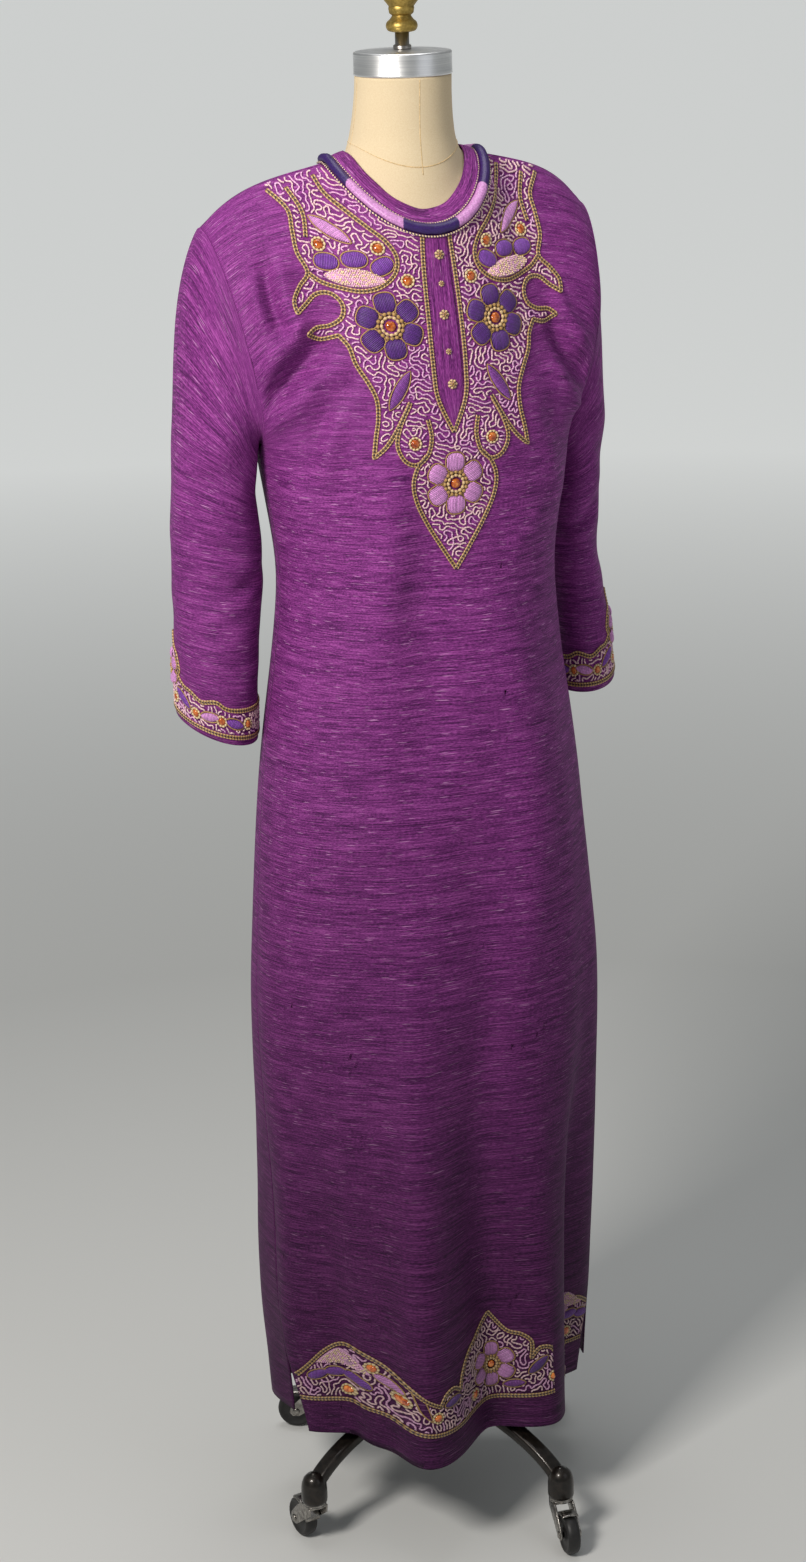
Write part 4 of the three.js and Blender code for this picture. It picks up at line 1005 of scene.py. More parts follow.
class Kaftan:
    """The garment's cloth: front, back, sleeves, neck band and placket."""

    front_cut = (0.82, 1.44)
    back_cut = (0.80, 1.44)
    sleeve_cut = (0.46, 0.50)
    placket_half = 14.0

    def __init__(self) -> None:
        """Works out the panels and sleeves, with the photo's main creases given one by one."""
        self.front = Panel(-1, 168, 130, 66, (
            (-184, 1314, -112, 1396, 7.5, -12), (-186, 1352, -126, 1416, 7, 8),
            (-178, 1296, -104, 1366, 8, 6), (-158, 1386, -170, 1478, 5.5, -8),
            (-146, 1392, -156, 1476, 8, 5), (-178, 1398, -184, 1456, 5, 4),
            (-152, 1232, -114, 1340, 7, -5), (-134, 1236, -100, 1342, 7, 4.5),
            (-150, 1190, -136, 1300, 6, 3), (-116, 1300, -92, 1362, 6, -2.5),
            (-70, 1290, -104, 1010, 16, 6), (-40, 1200, -62, 860, 20, -5),
            (-118, 1150, -52, 1128, 9, 2.2), (-126, 1092, -66, 1082, 8, -2.0),
            (-140, 838, -44, 846, 6, 2.6), (-120, 742, -22, 706, 5, 2.4),
            (-112, 716, -10, 680, 6, -2.0), (-90, 664, 24, 640, 7, 1.8),
            (-150, 900, -84, 884, 7, -1.8), (-20, 1010, 60, 1000, 10, 1.8),
            (30, 940, 112, 960, 9, -2.0), (60, 1150, 120, 1190, 9, 2.4),
            (184, 1318, 128, 1398, 7.5, -9), (178, 1356, 138, 1420, 7, 6),
            (176, 1286, 122, 1356, 8, 5), (160, 1250, 112, 1310, 8, -3.5),
            (148, 1200, 108, 1262, 8, 3),
            (-30, 560, 60, 540, 9, 1.6), (-10, 430, 80, 420, 10, -1.6),
            (-160, 560, -80, 540, 9, 1.6), (-60, 330, 30, 316, 8, 1.6),
            (40, 1130, 70, 640, 22, 5.5), (-8, 900, 4, 480, 18, -4),
            (120, 1100, 150, 560, 20, -4.5), (-60, 1120, -24, 1095, 8, -2.2),
        ))
        self.back = Panel(1, 120, 120, 56, (
            (180, 1320, 96, 1400, 8, -9), (-180, 1316, -104, 1404, 8, -9),
            (172, 1352, 90, 1424, 8, 6), (-172, 1350, -98, 1420, 8, 6),
            (170, 1290, 90, 1350, 8, 4), (-168, 1286, -90, 1340, 8, 4),
            (-60, 1120, 64, 1108, 10, 3.5), (-70, 1080, 50, 1088, 9, -3),
            (-40, 1050, 80, 1040, 9, 2.6), (-100, 840, 10, 850, 8, 2),
            (60, 1250, 84, 900, 20, 4), (-64, 1240, -90, 880, 20, 4),
            (20, 760, 120, 744, 8, 1.8), (-110, 600, 0, 586, 9, 1.6),
        ))
        columns = "z x y halfX halfY tilt drop"
        right = Rows(columns, [
            (1290, 210, 32, 39, 68, 52, 4), (1210, 213, 36, 48, 60, 20, 3), (1120, 213, 40, 49, 54, 6, 2),
            (1040, 218, 44, 46, 54, 6, 6), (958, 219, 46, 43, 53, 12, 12),
        ])
        left = Rows(columns, [
            (1290, 201, 42, 33, 70, 48, 4), (1210, 202, 54, 33, 64, 18, 3), (1120, 205, 60, 33, 60, 6, 2),
            (1040, 213, 60, 34, 58, 4, 3), (962, 219, 58, 36, 56, 8, 8),
        ])
        self.right = Sleeve("sleeve_right", -1, right, 1378, 958)
        self.left = Sleeve("sleeve_left", 1, left, 1378, 962)

    def panels(self, silk: Material) -> None:
        """Builds the front and the back."""
        for panel, node, cut, area in (
            (self.front, "front_panel", self.front_cut, 0.82), (self.back, "back_panel", self.back_cut, 0.82),
        ):
            bm = sheet_mesh(panel.surface.points, -panel.facing, PATTERN.cloth, cut)
            piece = finish_piece(node.replace("panel", "cloth"), bm, silk, "silk", "root", (node,))

    def sleeves(self, silk: Material) -> None:
        """Builds both sleeves."""
        for sleeve in (self.right, self.left):
            bm = sheet_mesh(sleeve.surface.points, -1, PATTERN.cloth, self.sleeve_cut, True)
            piece = finish_piece(sleeve.name.replace("sleeve", "sleeve_cloth"), bm, silk, "silk",
                                 "root", (sleeve.name,))

    def neck_band(self, silk: Material) -> None:
        """Builds the bias band that lies on the figure inside the piping, with its rounded edge."""
        edge = -PATTERN.roll_radius - 0.4
        angles = np.linspace(0, FULL_TURN, 181)[:, None]
        steps = np.linspace(0, 1, 9)[None, :]
        points = PATTERN.neckline(angles, edge - PATTERN.band_width * steps)
        points[..., 2] += 0.9 * np.sin(np.pi * np.clip(steps, 0, 1)) + 0.35 * np.sin(angles * 13) * steps
        bm = sheet_mesh(points, -1, PATTERN.cloth, (0.55, PATTERN.band_width * MM), True)
        piece = finish_piece("neck_band_cloth", bm, silk, "silk", "root", ("neck_band",))

    def placket(self, silk: Material) -> None:
        """Builds the plain strip down the centre front, ending in a point."""
        steps = 80
        z = np.linspace(1297, 1499, steps + 1)
        wide = self.placket_half * smooth((z - 1290) / 62) ** 0.6 * np.where(z > 1400, 1 - 0.0021 * (z - 1400), 1)
        across = np.linspace(-1, 1, 13)
        x = across[:, None] * np.maximum(wide, 0.4)[None, :]
        crown = 1.0 + 0.5 * (1 - across[:, None] ** 4) + 0.15 * np.sin(z / 5.5)[None, :] * (1 - across[:, None] ** 2)
        points = self.front.over(x, np.broadcast_to(z, x.shape), crown)
        bm = sheet_mesh(points, 1, 0.8, (0.2, 0.028), False)
        layer = bm.loops.layers.uv.active
        for face in bm.faces:
            for loop in face.loops:
                loop[layer].uv = (loop[layer].uv[1] * 7.4, loop[layer].uv[0] * 0.14)
        piece = finish_piece("placket_cloth", bm, silk, "silk", "root", ("placket",))

    def build(self, silk: Material) -> None:
        """Builds all the cloth."""
        self.panels(silk)
        self.sleeves(silk)
        self.neck_band(silk)
        self.placket(silk)


class Tone(Enum):
    """Colours of the threads and stones, in sRGB."""

    GOLD = "#b08a4e"
    PALE_GOLD = "#d8b98a"
    TAN = "#9a7748"
    DOT = "#2c1326"
    LILAC = "#c98ac6"
    PINK = "#d9a3c9"
    PALE_PINK = "#e2bcc0"
    VIOLET = "#75399c"
    DARK_VIOLET = "#522276"
    INDIGO = "#2f1458"
    PLUM = "#7a3a8e"
    CREAM = "#dcc69a"

    @property
    def light(self) -> Array:
        """Returns: the colour in linear light."""
        return np.array(linear(self.value)[:3])


def circle(middle: Point, radius: float, count: int = 14) -> Array:
    """Returns: points round a circle, anticlockwise."""
    turns = np.arange(count) * FULL_TURN / count
    return np.array(middle) + radius * np.stack([np.cos(turns), np.sin(turns)], axis=1)


def ways(degrees: float) -> tuple[Array, Array]:
    """Returns: the directions along and across a form that points at an angle."""
    along = np.array([math.cos(math.radians(degrees)), math.sin(math.radians(degrees))])
    return along, np.array([-along[1], along[0]])


def lens(middle: Point, degrees: float, length: float, width: float, blunt: float, power: float,
         count: int) -> Array:
    """Draws the outline of a leaf or petal.

    Args:
        middle: its centre.
        degrees: direction of its length.
        length: its length.
        width: its width.
        blunt: below 1 for round ends, above 1 for pointed ones.
        power: how long it keeps its width towards the ends.
        count: how many points it has.

    Returns:
        Points round it, anticlockwise.
    """
    axis, across = ways(degrees)
    turns = np.arange(count) * FULL_TURN / count
    half = width / 2 * (1 - np.abs(np.cos(turns)) ** power) ** blunt
    spine = np.array(middle) + np.outer(np.cos(turns) * length / 2, axis)
    return spine + np.outer(np.sign(np.sin(turns)) * half, across)


def ring_faces(count: int, sides: int, closed: bool) -> Array:
    """Returns: the four-sided faces between rings of points; if closed, the last ring meets the first."""
    near = np.arange(count if closed else count - 1)[:, None]
    far = (near + 1) % count * sides
    k = np.arange(sides)
    after = (k + 1) % sides
    corners = (near * sides + k, near * sides + after, far + after, far + k)
    return np.stack([corner.ravel() for corner in corners], axis=1)


class Pile:
    """Many small closed forms over a ground, gathered into one mesh with a tint at each point.

    Forms are given in a flat pattern of millimetres, across and up, with a height over the ground.
    """

    def __init__(self) -> None:
        """Starts an empty pile."""
        self.points: list[Array] = []
        self.quads: list[Array] = []
        self.triangles: list[Array] = []
        self.tints: list[Array] = []
        self.count = 0

    def add(self, points: Array, quads: Array, triangles: Array, tint: Array) -> None:
        """Adds one closed form.

        Args:
            points: its points in the flat pattern.
            quads: its four-sided faces.
            triangles: its three-sided faces.
            tint: one colour, or one for each point.
        """
        self.points.append(points)
        self.quads.append(np.asarray(quads, dtype=int).reshape(-1, 4) + self.count)
        self.triangles.append(np.asarray(triangles, dtype=int).reshape(-1, 3) + self.count)
        self.tints.append(np.broadcast_to(tint, (len(points), 3)))
        self.count += len(points)

    def tube(self, path: Array, radius: Array | float, tint: Array, sides: int = 4,
             lift: Array | float = 0.0, closed: bool = False) -> None:
        """Adds a thread along a path.

        Args:
            path: points across and up, in order.
            radius: the thread's radius, or one for each point.
            tint: one colour, or one for each point of the path.
            sides: sides of its section.
            lift: height of its underside.
            closed: whether its end meets its start.
        """
        count = len(path)
        if count < 3:
            return
        if closed:
            ahead, behind = np.roll(path, -1, axis=0), np.roll(path, 1, axis=0)
        else:
            ahead, behind = np.vstack([path[1:], path[-1:]]), np.vstack([path[:1], path[:-1]])
        way = unit(ahead - behind)
        across = np.stack([way[:, 1], -way[:, 0]], axis=1)
        radius = np.broadcast_to(np.asarray(radius, dtype=float), (count,))
        lift = np.broadcast_to(np.asarray(lift, dtype=float), (count,))
        angles = np.arange(sides) * FULL_TURN / sides + math.pi / sides
        rings = np.zeros((count, sides, 3))
        rings[..., :2] = path[:, None, :] + across[:, None, :] * (radius[:, None] * np.cos(angles))[..., None]
        rings[..., 2] = lift[:, None] + radius[:, None] * (np.sin(angles) + 0.7)
        points = rings.reshape(-1, 3)
        k = np.arange(sides)
        tints = np.repeat(np.broadcast_to(tint, (count, 3)), sides, axis=0)
        triangles = np.zeros((0, 3))
        if not closed:
            ends = np.array([rings[0].mean(axis=0), rings[-1].mean(axis=0)])
            points = np.vstack([points, ends])
            tints = np.vstack([tints, tints[:1], tints[-1:]])
            base = (count - 1) * sides
            start = np.stack([np.full(sides, count * sides), (k + 1) % sides, k], axis=1)
            end = np.stack([np.full(sides, count * sides + 1), base + k, base + (k + 1) % sides], axis=1)
            triangles = np.vstack([start, end])
        self.add(points, ring_faces(count, sides, closed), triangles, tints)

    def dome(self, outline: Array, height: float, tint: Array, rings: int = 4, lift: float = 0.0) -> None:
        """Adds a padded form over an outline.

        Args:
            outline: points round it, anticlockwise.
            height: its height at the middle.
            tint: its colour.
            rings: how many rings its crown has.
            lift: height of its foot.
        """
        count = len(outline)
        middle = outline.mean(axis=0)
        levels = []
        for k in range(rings):
            share = k / rings
            ring = middle + (outline - middle) * (1 - share**1.6)
            levels.append(np.column_stack([ring, np.full(count, lift + height * (1 - (1 - share) ** 2.4))]))
        points = np.vstack([*levels, [[*middle, lift + height]], [[*middle, lift - 0.3]]])
        k = np.arange(count)
        following = (k + 1) % count
        quads = [np.stack([r * count + k, r * count + following, (r + 1) * count + following, (r + 1) * count + k],
                          axis=1) for r in range(rings - 1)]
        top = (rings - 1) * count
        crown = np.stack([top + k, top + following, np.full(count, rings * count)], axis=1)
        foot = np.stack([following, k, np.full(count, rings * count + 1)], axis=1)
        self.add(points, np.vstack(quads), np.vstack([crown, foot]), tint)

    def satin(self, middle: Point, degrees: float, length: float, width: float, height: float,
              tone: Tone, blunt: float = 0.6, slant: float = 0.0, strand: float = 1.5) -> None:
        """Adds a padded satin-stitched leaf or petal, of strands laid side by side.

        Args:
            middle: its centre in the pattern.
            degrees: direction of its length.
            length: its length.
            width: its width.
            height: how far it stands up.
            tone: its colour.
            blunt: below 1 for round ends, above 1 for pointed ones.
            slant: how far the strands lean along the length, in widths.
            strand: spacing of the strands.
        """
        axis, across = ways(degrees)
        outline = lens(middle, degrees, length * 0.94, width * 0.96, blunt, 2.2, 24)
        self.dome(outline, height * 0.85, tone.light * 0.45, 3)
        count = max(4, int(length / strand))
        for i in range(count):
            u = -1 + 2 * (i + 0.5) / count
            wide = width / 2 * (1 - abs(u) ** 2.2) ** blunt
            v = np.linspace(-1, 1, 7)
            lean = slant * wide * v
            path = np.array(middle) + np.outer(u * length / 2 + lean, axis) + np.outer(v * wide, across)
            lift = height * np.sqrt(np.clip(1 - 0.92 * v**2, 0, 1)) * (0.55 + 0.45 * (1 - abs(u) ** 3)) - 0.5
            shade = 0.86 + 0.28 * ((i * 7) % 5) / 4
            self.tube(path, strand * 0.58, tone.light * shade, 5, lift)

    def ring(self, middle: Point, radius: float, thread: float, tones: tuple[Tone, Tone],
             twists: int, lift: float = 0.0) -> None:
        """Adds a twisted cord laid in a ring.

        Args:
            middle: its centre.
            radius: the ring's radius.
            thread: the cord's radius.
            tones: colours of its two strands.
            twists: how many twists go round.
            lift: height of its underside.
        """
        count = twists * 4
        wave = np.cos(np.arange(count) * RIGHT_ANGLE)
        tint = np.where(wave[:, None] > -0.5, tones[0].light, tones[1].light)
        self.tube(circle(middle, radius, count), thread * (1 + 0.28 * wave), tint, 5, lift, True)

    def braid(self, path: Array, closed: bool = False, width: float = 3.0) -> None:
        """Adds a double row of chain stitch along a path, with dark dots down its middle.

        Args:
            path: points of its middle line.
            closed: whether it comes back to its start.
            width: distance between the rows.
        """
        pitch = 3.6
        line = resample(path, pitch / 3, closed)
        if len(line) < 4:
            return
        ahead, behind = np.roll(line, -1, axis=0), np.roll(line, 1, axis=0)
        way = ahead - behind
        if not closed:
            way[0], way[-1] = line[1] - line[0], line[-1] - line[-2]
        across = unit(np.stack([way[:, 1], -way[:, 0]], axis=1))
        beat = np.arange(len(line)) % 3
        size = np.where(beat == 0, 0.66, 0.94)
        for row in (-1, 1):
            tint = np.where((beat == 0)[:, None], Tone.TAN.light * 0.9,
                            np.where((beat == 1)[:, None], Tone.GOLD.light * 1.15, Tone.PALE_GOLD.light))
            self.tube(line + across * row * width / 2, size, tint, 5, 0.15, closed)
        dots = np.where((beat == 1)[:, None], Tone.TAN.light, Tone.DOT.light)
        self.tube(line, np.where(beat == 1, 0.7, 1.05), dots, 4, 0.3, closed)

    def knots(self, outline: Array, spacing: float, lift: Array | float, seed: int) -> None:
        """Fills an outline with small seed knots in mixed pinks and gold.

        Args:
            outline: points round it.
            spacing: distance between knots.
            lift: height of the padding under them at the middle.
            seed: start of the random draw.
        """
        draw = np.random.default_rng(seed)
        low, high = outline.min(axis=0), outline.max(axis=0)
        grid = [(x, y) for row, y in enumerate(np.arange(low[1], high[1], spacing * 0.85))
                for x in np.arange(low[0] + (row % 2) * spacing / 2, high[0], spacing)]
        spots = np.array(grid) + draw.uniform(-0.35, 0.35, (len(grid), 2))
        spots = spots[inside(spots, outline) & (distance(spots, outline, True) > spacing * 0.4)]
        middle = outline.mean(axis=0)
        span = np.linalg.norm(outline - middle, axis=1).max()
        tones = (Tone.PALE_PINK, Tone.CREAM, Tone.CREAM, Tone.PINK, Tone.PALE_PINK)
        for spot in spots:
            rise = lift * (1 - (np.linalg.norm(spot - middle) / span) ** 2)
            size = spacing * draw.uniform(0.46, 0.6)
            turned = draw.uniform(0, math.pi)
            corners = [(math.cos(turned + k * RIGHT_ANGLE), math.sin(turned + k * RIGHT_ANGLE)) for k in range(4)]
            ring = np.array([[spot[0] + c * size, spot[1] + s * size, rise + 0.6] for c, s in corners])
            points = np.vstack([ring, [[*spot, rise + 1.5]], [[*spot, rise - 0.3]]])
            faces = [(k, (k + 1) % 4, 4) for k in range(4)] + [((k + 1) % 4, k, 5) for k in range(4)]
            self.add(points, np.zeros((0, 4)), np.array(faces), tones[int(draw.integers(5))].light * 1.3)

    def build(self, name: str, ground: object, material: Material, slot: str,
              replaced: tuple[str, ...] = ()) -> Object:
        """Turns the pile into a piece over its ground.

        Args:
            name: the piece's name.
            ground: what turns the flat pattern into places, from across, up and height.
            material: its material.
            slot: the name of a material slot, passed on to finish_mesh.
            replaced: CAD nodes that it stands for.

        Returns:
            The new object.
        """
        flat = np.vstack(self.points)
        points = place(ground(flat[:, 0], flat[:, 1], flat[:, 2]))
        faces = [*np.vstack(self.quads).tolist(), *np.vstack(self.triangles).tolist()]
        mesh = bpy.data.meshes.new(name)
        mesh.from_pydata(points.tolist(), [], faces)
        tint = mesh.color_attributes.new("tint", "FLOAT_COLOR", "POINT")
        colours = np.column_stack([np.vstack(self.tints), np.ones(len(points))])
        tint.data.foreach_set("color", colours.astype(np.float32).ravel())
        return finish_mesh(name, mesh, material, slot, "root", replaced)


def resample(path: Array, step: float, closed: bool = False) -> Array:
    """Spaces points evenly along a path.

    Args:
        path: points in order.
        step: distance between the new points.
        closed: whether the path comes back to its start.

    Returns:
        The new points.
    """
    path = np.asarray(path, dtype=float)
    if closed:
        path = np.vstack([path, path[:1]])
    runs = np.concatenate([[0], np.cumsum(np.linalg.norm(np.diff(path, axis=0), axis=1))])
    count = max(3, int(round(runs[-1] / step / 3)) * 3)
    where = np.linspace(0, runs[-1], count + 1)
    line = np.stack([np.interp(where, runs, path[:, k]) for k in (0, 1)], axis=1)
    return line[:-1] if closed else line


def curve(points: list[Point], closed: bool = False, sharp: tuple[int, ...] = ()) -> Array:
    """Draws a smooth line through a few points.

    Args:
        points: the points, across and up.
        closed: whether it comes back to its start.
        sharp: which points are corners.

    Returns:
        A fine line of points.
    """
    p = np.array(points, dtype=float)
    count = len(p)
    slopes = np.zeros_like(p)
    for i in range(count):
        if i in sharp:
            continue
        before = p[i - 1] if closed or i > 0 else p[i]
        after = p[(i + 1) % count] if closed or i < count - 1 else p[i]
        slopes[i] = (after - before) / 2
    parts = []
    t = np.linspace(0, 1, 9)[:-1, None]
    for i in range(count if closed else count - 1):
        following = (i + 1) % count
        parts.append(eased(t, p[i], p[following], slopes[i], slopes[following]))
    if not closed:
        parts.append(p[-1:])
    return np.vstack(parts)


def inside(spots: Array, outline: Array) -> Array:
    """Tests spots against an outline.

    Args:
        spots: places across and up.
        outline: points round it.

    Returns:
        Which spots lie inside.
    """
    x, y = spots[:, 0][:, None], spots[:, 1][:, None]
    x0, y0 = outline[:, 0], outline[:, 1]
    x1, y1 = np.roll(x0, -1), np.roll(y0, -1)
    rise = np.where(y1 == y0, 1e-9, y1 - y0)
    crosses = ((y0 > y) != (y1 > y)) & (x < (x1 - x0) * (y - y0) / rise + x0)
    return crosses.sum(axis=1) % 2 == 1


def distance(spots: Array, line: Array, closed: bool = False) -> Array:
    """Measures how far spots are from a line.

    Args:
        spots: places across and up.
        line: points in order.
        closed: whether the line comes back to its start.

    Returns:
        Each spot's distance.
    """
    ends = np.roll(line, -1, axis=0) if closed else line[1:]
    starts = line if closed else line[:-1]
    run = ends - starts
    length = np.maximum((run**2).sum(axis=1), 1e-9)
    nearest = np.full(len(spots), 1e9)
    for start, way, squared in zip(starts, run, length):
        offset = spots - start
        share = np.clip(offset @ way / squared, 0, 1)
        nearest = np.minimum(nearest, np.linalg.norm(offset - share[:, None] * way, axis=1))
    return nearest


@dataclass
class Vermicelli:
    """Squiggled couching: the level lines of a field of seeded waves of one spacing."""

    spacing: float = 4.1
    thread: float = 1.0
    cell: float = 1.25
    waves: int = 46
    seed: int = 7

    def field(self, spots: Array) -> Array:
        """Returns: the field's value at spots."""
        draw = np.random.default_rng(self.seed)
        angles = draw.uniform(0, FULL_TURN, self.waves)
        phases = draw.uniform(0, FULL_TURN, self.waves)
        lengths = 2 * self.spacing * draw.uniform(0.76, 1.32, self.waves)
        value = np.zeros(len(spots))
        for angle, phase, length in zip(angles, phases, lengths):
            along = spots[:, 0] * math.cos(angle) + spots[:, 1] * math.sin(angle)
            value += np.cos(FULL_TURN * along / length + phase)
        return value

    def lines(self, low: Array, high: Array, allowed: object) -> list[Array]:
        """Follows the field's level lines.

        Args:
            low: the lower corner of the area.
            high: the upper corner.
            allowed: says which spots may hold thread.

        Returns:
            Lines of points.
        """
        xs = np.arange(low[0], high[0], self.cell)
        ys = np.arange(low[1], high[1], self.cell)
        grid_x, grid_y = np.meshgrid(xs, ys, indexing="ij")
        values = self.field(np.stack([grid_x.ravel(), grid_y.ravel()], axis=1)).reshape(grid_x.shape)
        crossing: dict[tuple[int, int, int], tuple[float, float]] = {}
        for i, j in zip(*np.nonzero(values[:-1] * values[1:] < 0)):
            share = values[i, j] / (values[i, j] - values[i + 1, j])
            crossing[(i, j, 0)] = (xs[i] + share * self.cell, ys[j])
        for i, j in zip(*np.nonzero(values[:, :-1] * values[:, 1:] < 0)):
            share = values[i, j] / (values[i, j] - values[i, j + 1])
            crossing[(i, j, 1)] = (xs[i], ys[j] + share * self.cell)
        links: dict[tuple[int, int, int], list[tuple[int, int, int]]] = {key: [] for key in crossing}
        cells = {(i - di, j - dj) for (i, j, kind) in crossing
                 for di, dj in ((0, 0), (0, 1) if kind == 0 else (1, 0))}
        for i, j in sorted(cells):
            sides = [key for key in ((i, j, 0), (i, j + 1, 0), (i, j, 1), (i + 1, j, 1)) if key in crossing]
            for a, b in zip(sides[::2], sides[1::2]):
                links[a].append(b)
                links[b].append(a)
        keys = sorted(crossing)
        spots = np.array([crossing[key] for key in keys])
        kept = {key for key, good in zip(keys, allowed(spots)) if good}
        lines, used = [], set()
        for pass_ends in (True, False):
            for key in keys:
                if key not in kept or key in used:
                    continue
                near = [other for other in links[key] if other in kept]
                if pass_ends and len(near) == 2:
                    continue
                chain = [key]
                used.add(key)
                while True:
                    ahead = [other for other in links[chain[-1]] if other in kept and other not in used]
                    if not ahead:
                        break
                    chain.append(ahead[0])
                    used.add(ahead[0])
                if len(chain) > 3:
                    lines.append(np.array([crossing[item] for item in chain]))
        return lines

    def lay(self, pile: Pile, low: Array, high: Array, allowed: object) -> None:
        """Lays the thread in a pile.

        Args:
            pile: where it goes.
            low: the lower corner of the area.
            high: the upper corner.
            allowed: says which spots may hold thread.
        """
        draw = np.random.default_rng(self.seed + 1)
        tones = (Tone.PALE_PINK.light, Tone.PINK.light, Tone.PALE_PINK.light)
        for line in self.lines(low, high, allowed):
            path = resample(line, 1.6)
            path[1:-1] = (path[:-2] + 2 * path[1:-1] + path[2:]) / 4
            beat = np.arange(len(path)) % 2
            tint = np.outer(0.86 + 0.3 * beat, tones[int(draw.integers(3))])
            pile.tube(path, self.thread * (0.86 + 0.2 * beat), tint, 4, 0.1)


@dataclass
class Amber:
    """Glossy amber cabochon: brown-orange glass, polished, set in a ring of pale cord."""

    name: str = "amber_glass"

    def build(self) -> Material:
        """Returns: the material, a mottled orange under a clear gloss."""
        material, tree, shader = new_material(self.name, Roughness=0.12, Coat_Weight=0.6)
        place_of = add_node(tree, "TexCoord").outputs["Object"]
        clouds = add_node(tree, "TexNoise", Vector=place_of, Scale=240.0, Detail=2.0).outputs["Fac"]
        colour = ramp(tree, clouds, [(0.3, "#7a2c10"), (0.5, "#b3541a"), (0.72, "#d98a3c")])
        tree.links.new(colour, shader.inputs["Base Color"])
        return material


@dataclass
class Worked:
    """The couched work of one ground: its threads, its stones and the places they keep clear."""

    ground: object
    threads: Pile = field(default_factory=Pile)
    stones: Pile = field(default_factory=Pile)
    clear: list[tuple[Array, float]] = field(default_factory=list)
    holes: list[Array] = field(default_factory=list)

    def edge(self, path: Array, closed: bool = False) -> None:
        """Lays a braid along a path and keeps the squiggles off it."""
        self.threads.braid(path, closed)
        self.clear.append((resample(path, 5.0, closed), 3.6))

    def stone(self, x: float, z: float, radius: float = 5.0) -> None:
        """Sets a cabochon with its ring of cord."""
        self.stones.dome(circle((x, z), radius), radius * 0.62, np.ones(3), 5, 0.3)
        self.threads.ring((x, z), radius + 1.1, 1.2, (Tone.CREAM, Tone.GOLD), 10)
        self.holes.append(circle((x, z), radius + 3.2))

    def leaf(self, middle: Point, degrees: float, length: float, width: float, tone: Tone,
             blunt: float = 0.75, height: float = 2.6, slant: float = 0.35) -> None:
        """Works a satin leaf or petal with a fine pale cord round it.

        Args:
            middle: its centre in the pattern.
            degrees: direction of its length.
            length: its length.
            width: its width.
            tone: its colour.
            blunt: below 1 for round ends, above 1 for pointed ones.
            height: how far it stands up.
            slant: how far its strands lean along it, in widths.
        """
        self.threads.satin(middle, degrees, length, width, height, tone, blunt, slant)
        outline = lens(middle, degrees, length + 2, width + 2, blunt, 2.4, 32)
        self.threads.tube(resample(outline, 1.8, True), 0.75, Tone.GOLD.light * 0.95, 4, 0.2, True)
        self.holes.append(middle + (outline - middle) * 1.12)

    def flower(self, middle: Point, radius: float, tone: Tone, turned: int) -> None:
        """Works a flower of six satin petals round a stone in two twisted rings."""
        for angle in range(turned, turned + 360, 60):
            spot = np.array(middle) + radius * 0.70 * ways(angle)[0]
            self.leaf(spot, angle + 90, radius * 0.6, radius * 0.6, tone, 0.32, 3.2, 0.0)
        self.threads.ring(middle, radius * 0.38, 1.7, (Tone.GOLD, Tone.DOT), 16, 0.3)
        self.threads.ring(middle, radius * 0.27, 1.5, (Tone.PALE_GOLD, Tone.TAN), 12, 0.6)
        self.stones.dome(circle(middle, radius * 0.17), 3.4, np.ones(3), 5, 0.6)
        self.holes.append(circle(middle, radius * 0.5))

    def seeded(self, outline: Array, seed: int, height: float = 2.2) -> None:
        """Pads an outline and fills it with seed knots."""
        self.threads.dome(outline, height, Tone.PINK.light, 4)
        self.threads.knots(outline, 2.1, height, seed)
        middle = outline.mean(axis=0)
        self.holes.append(middle + (outline - middle) * 1.05)

    def fill(self, region: Array, seed: int, extra: object = None) -> None:
        """Fills a region with squiggles around everything else.

        Args:
            region: the outline to fill.
            seed: start of the random draw.
            extra: a further test of spots, or None.
        """
        def allowed(spots: Array) -> Array:
            """Returns: which spots may hold squiggles."""
            good = inside(spots, region)
            for line, room in self.clear:
                good &= distance(spots, line) > room
            for hole in self.holes:
                good &= ~inside(spots, hole)
            return good & extra(spots) if extra else good

        Vermicelli(seed=seed).lay(self.threads, region.min(axis=0), region.max(axis=0), allowed)


def mirrored(points: list[Point], side: int) -> list[Point]:
    """Returns: a half's points on the wearer's left (1) or right (-1)."""
    return [(side * x, z) for x, z in points]


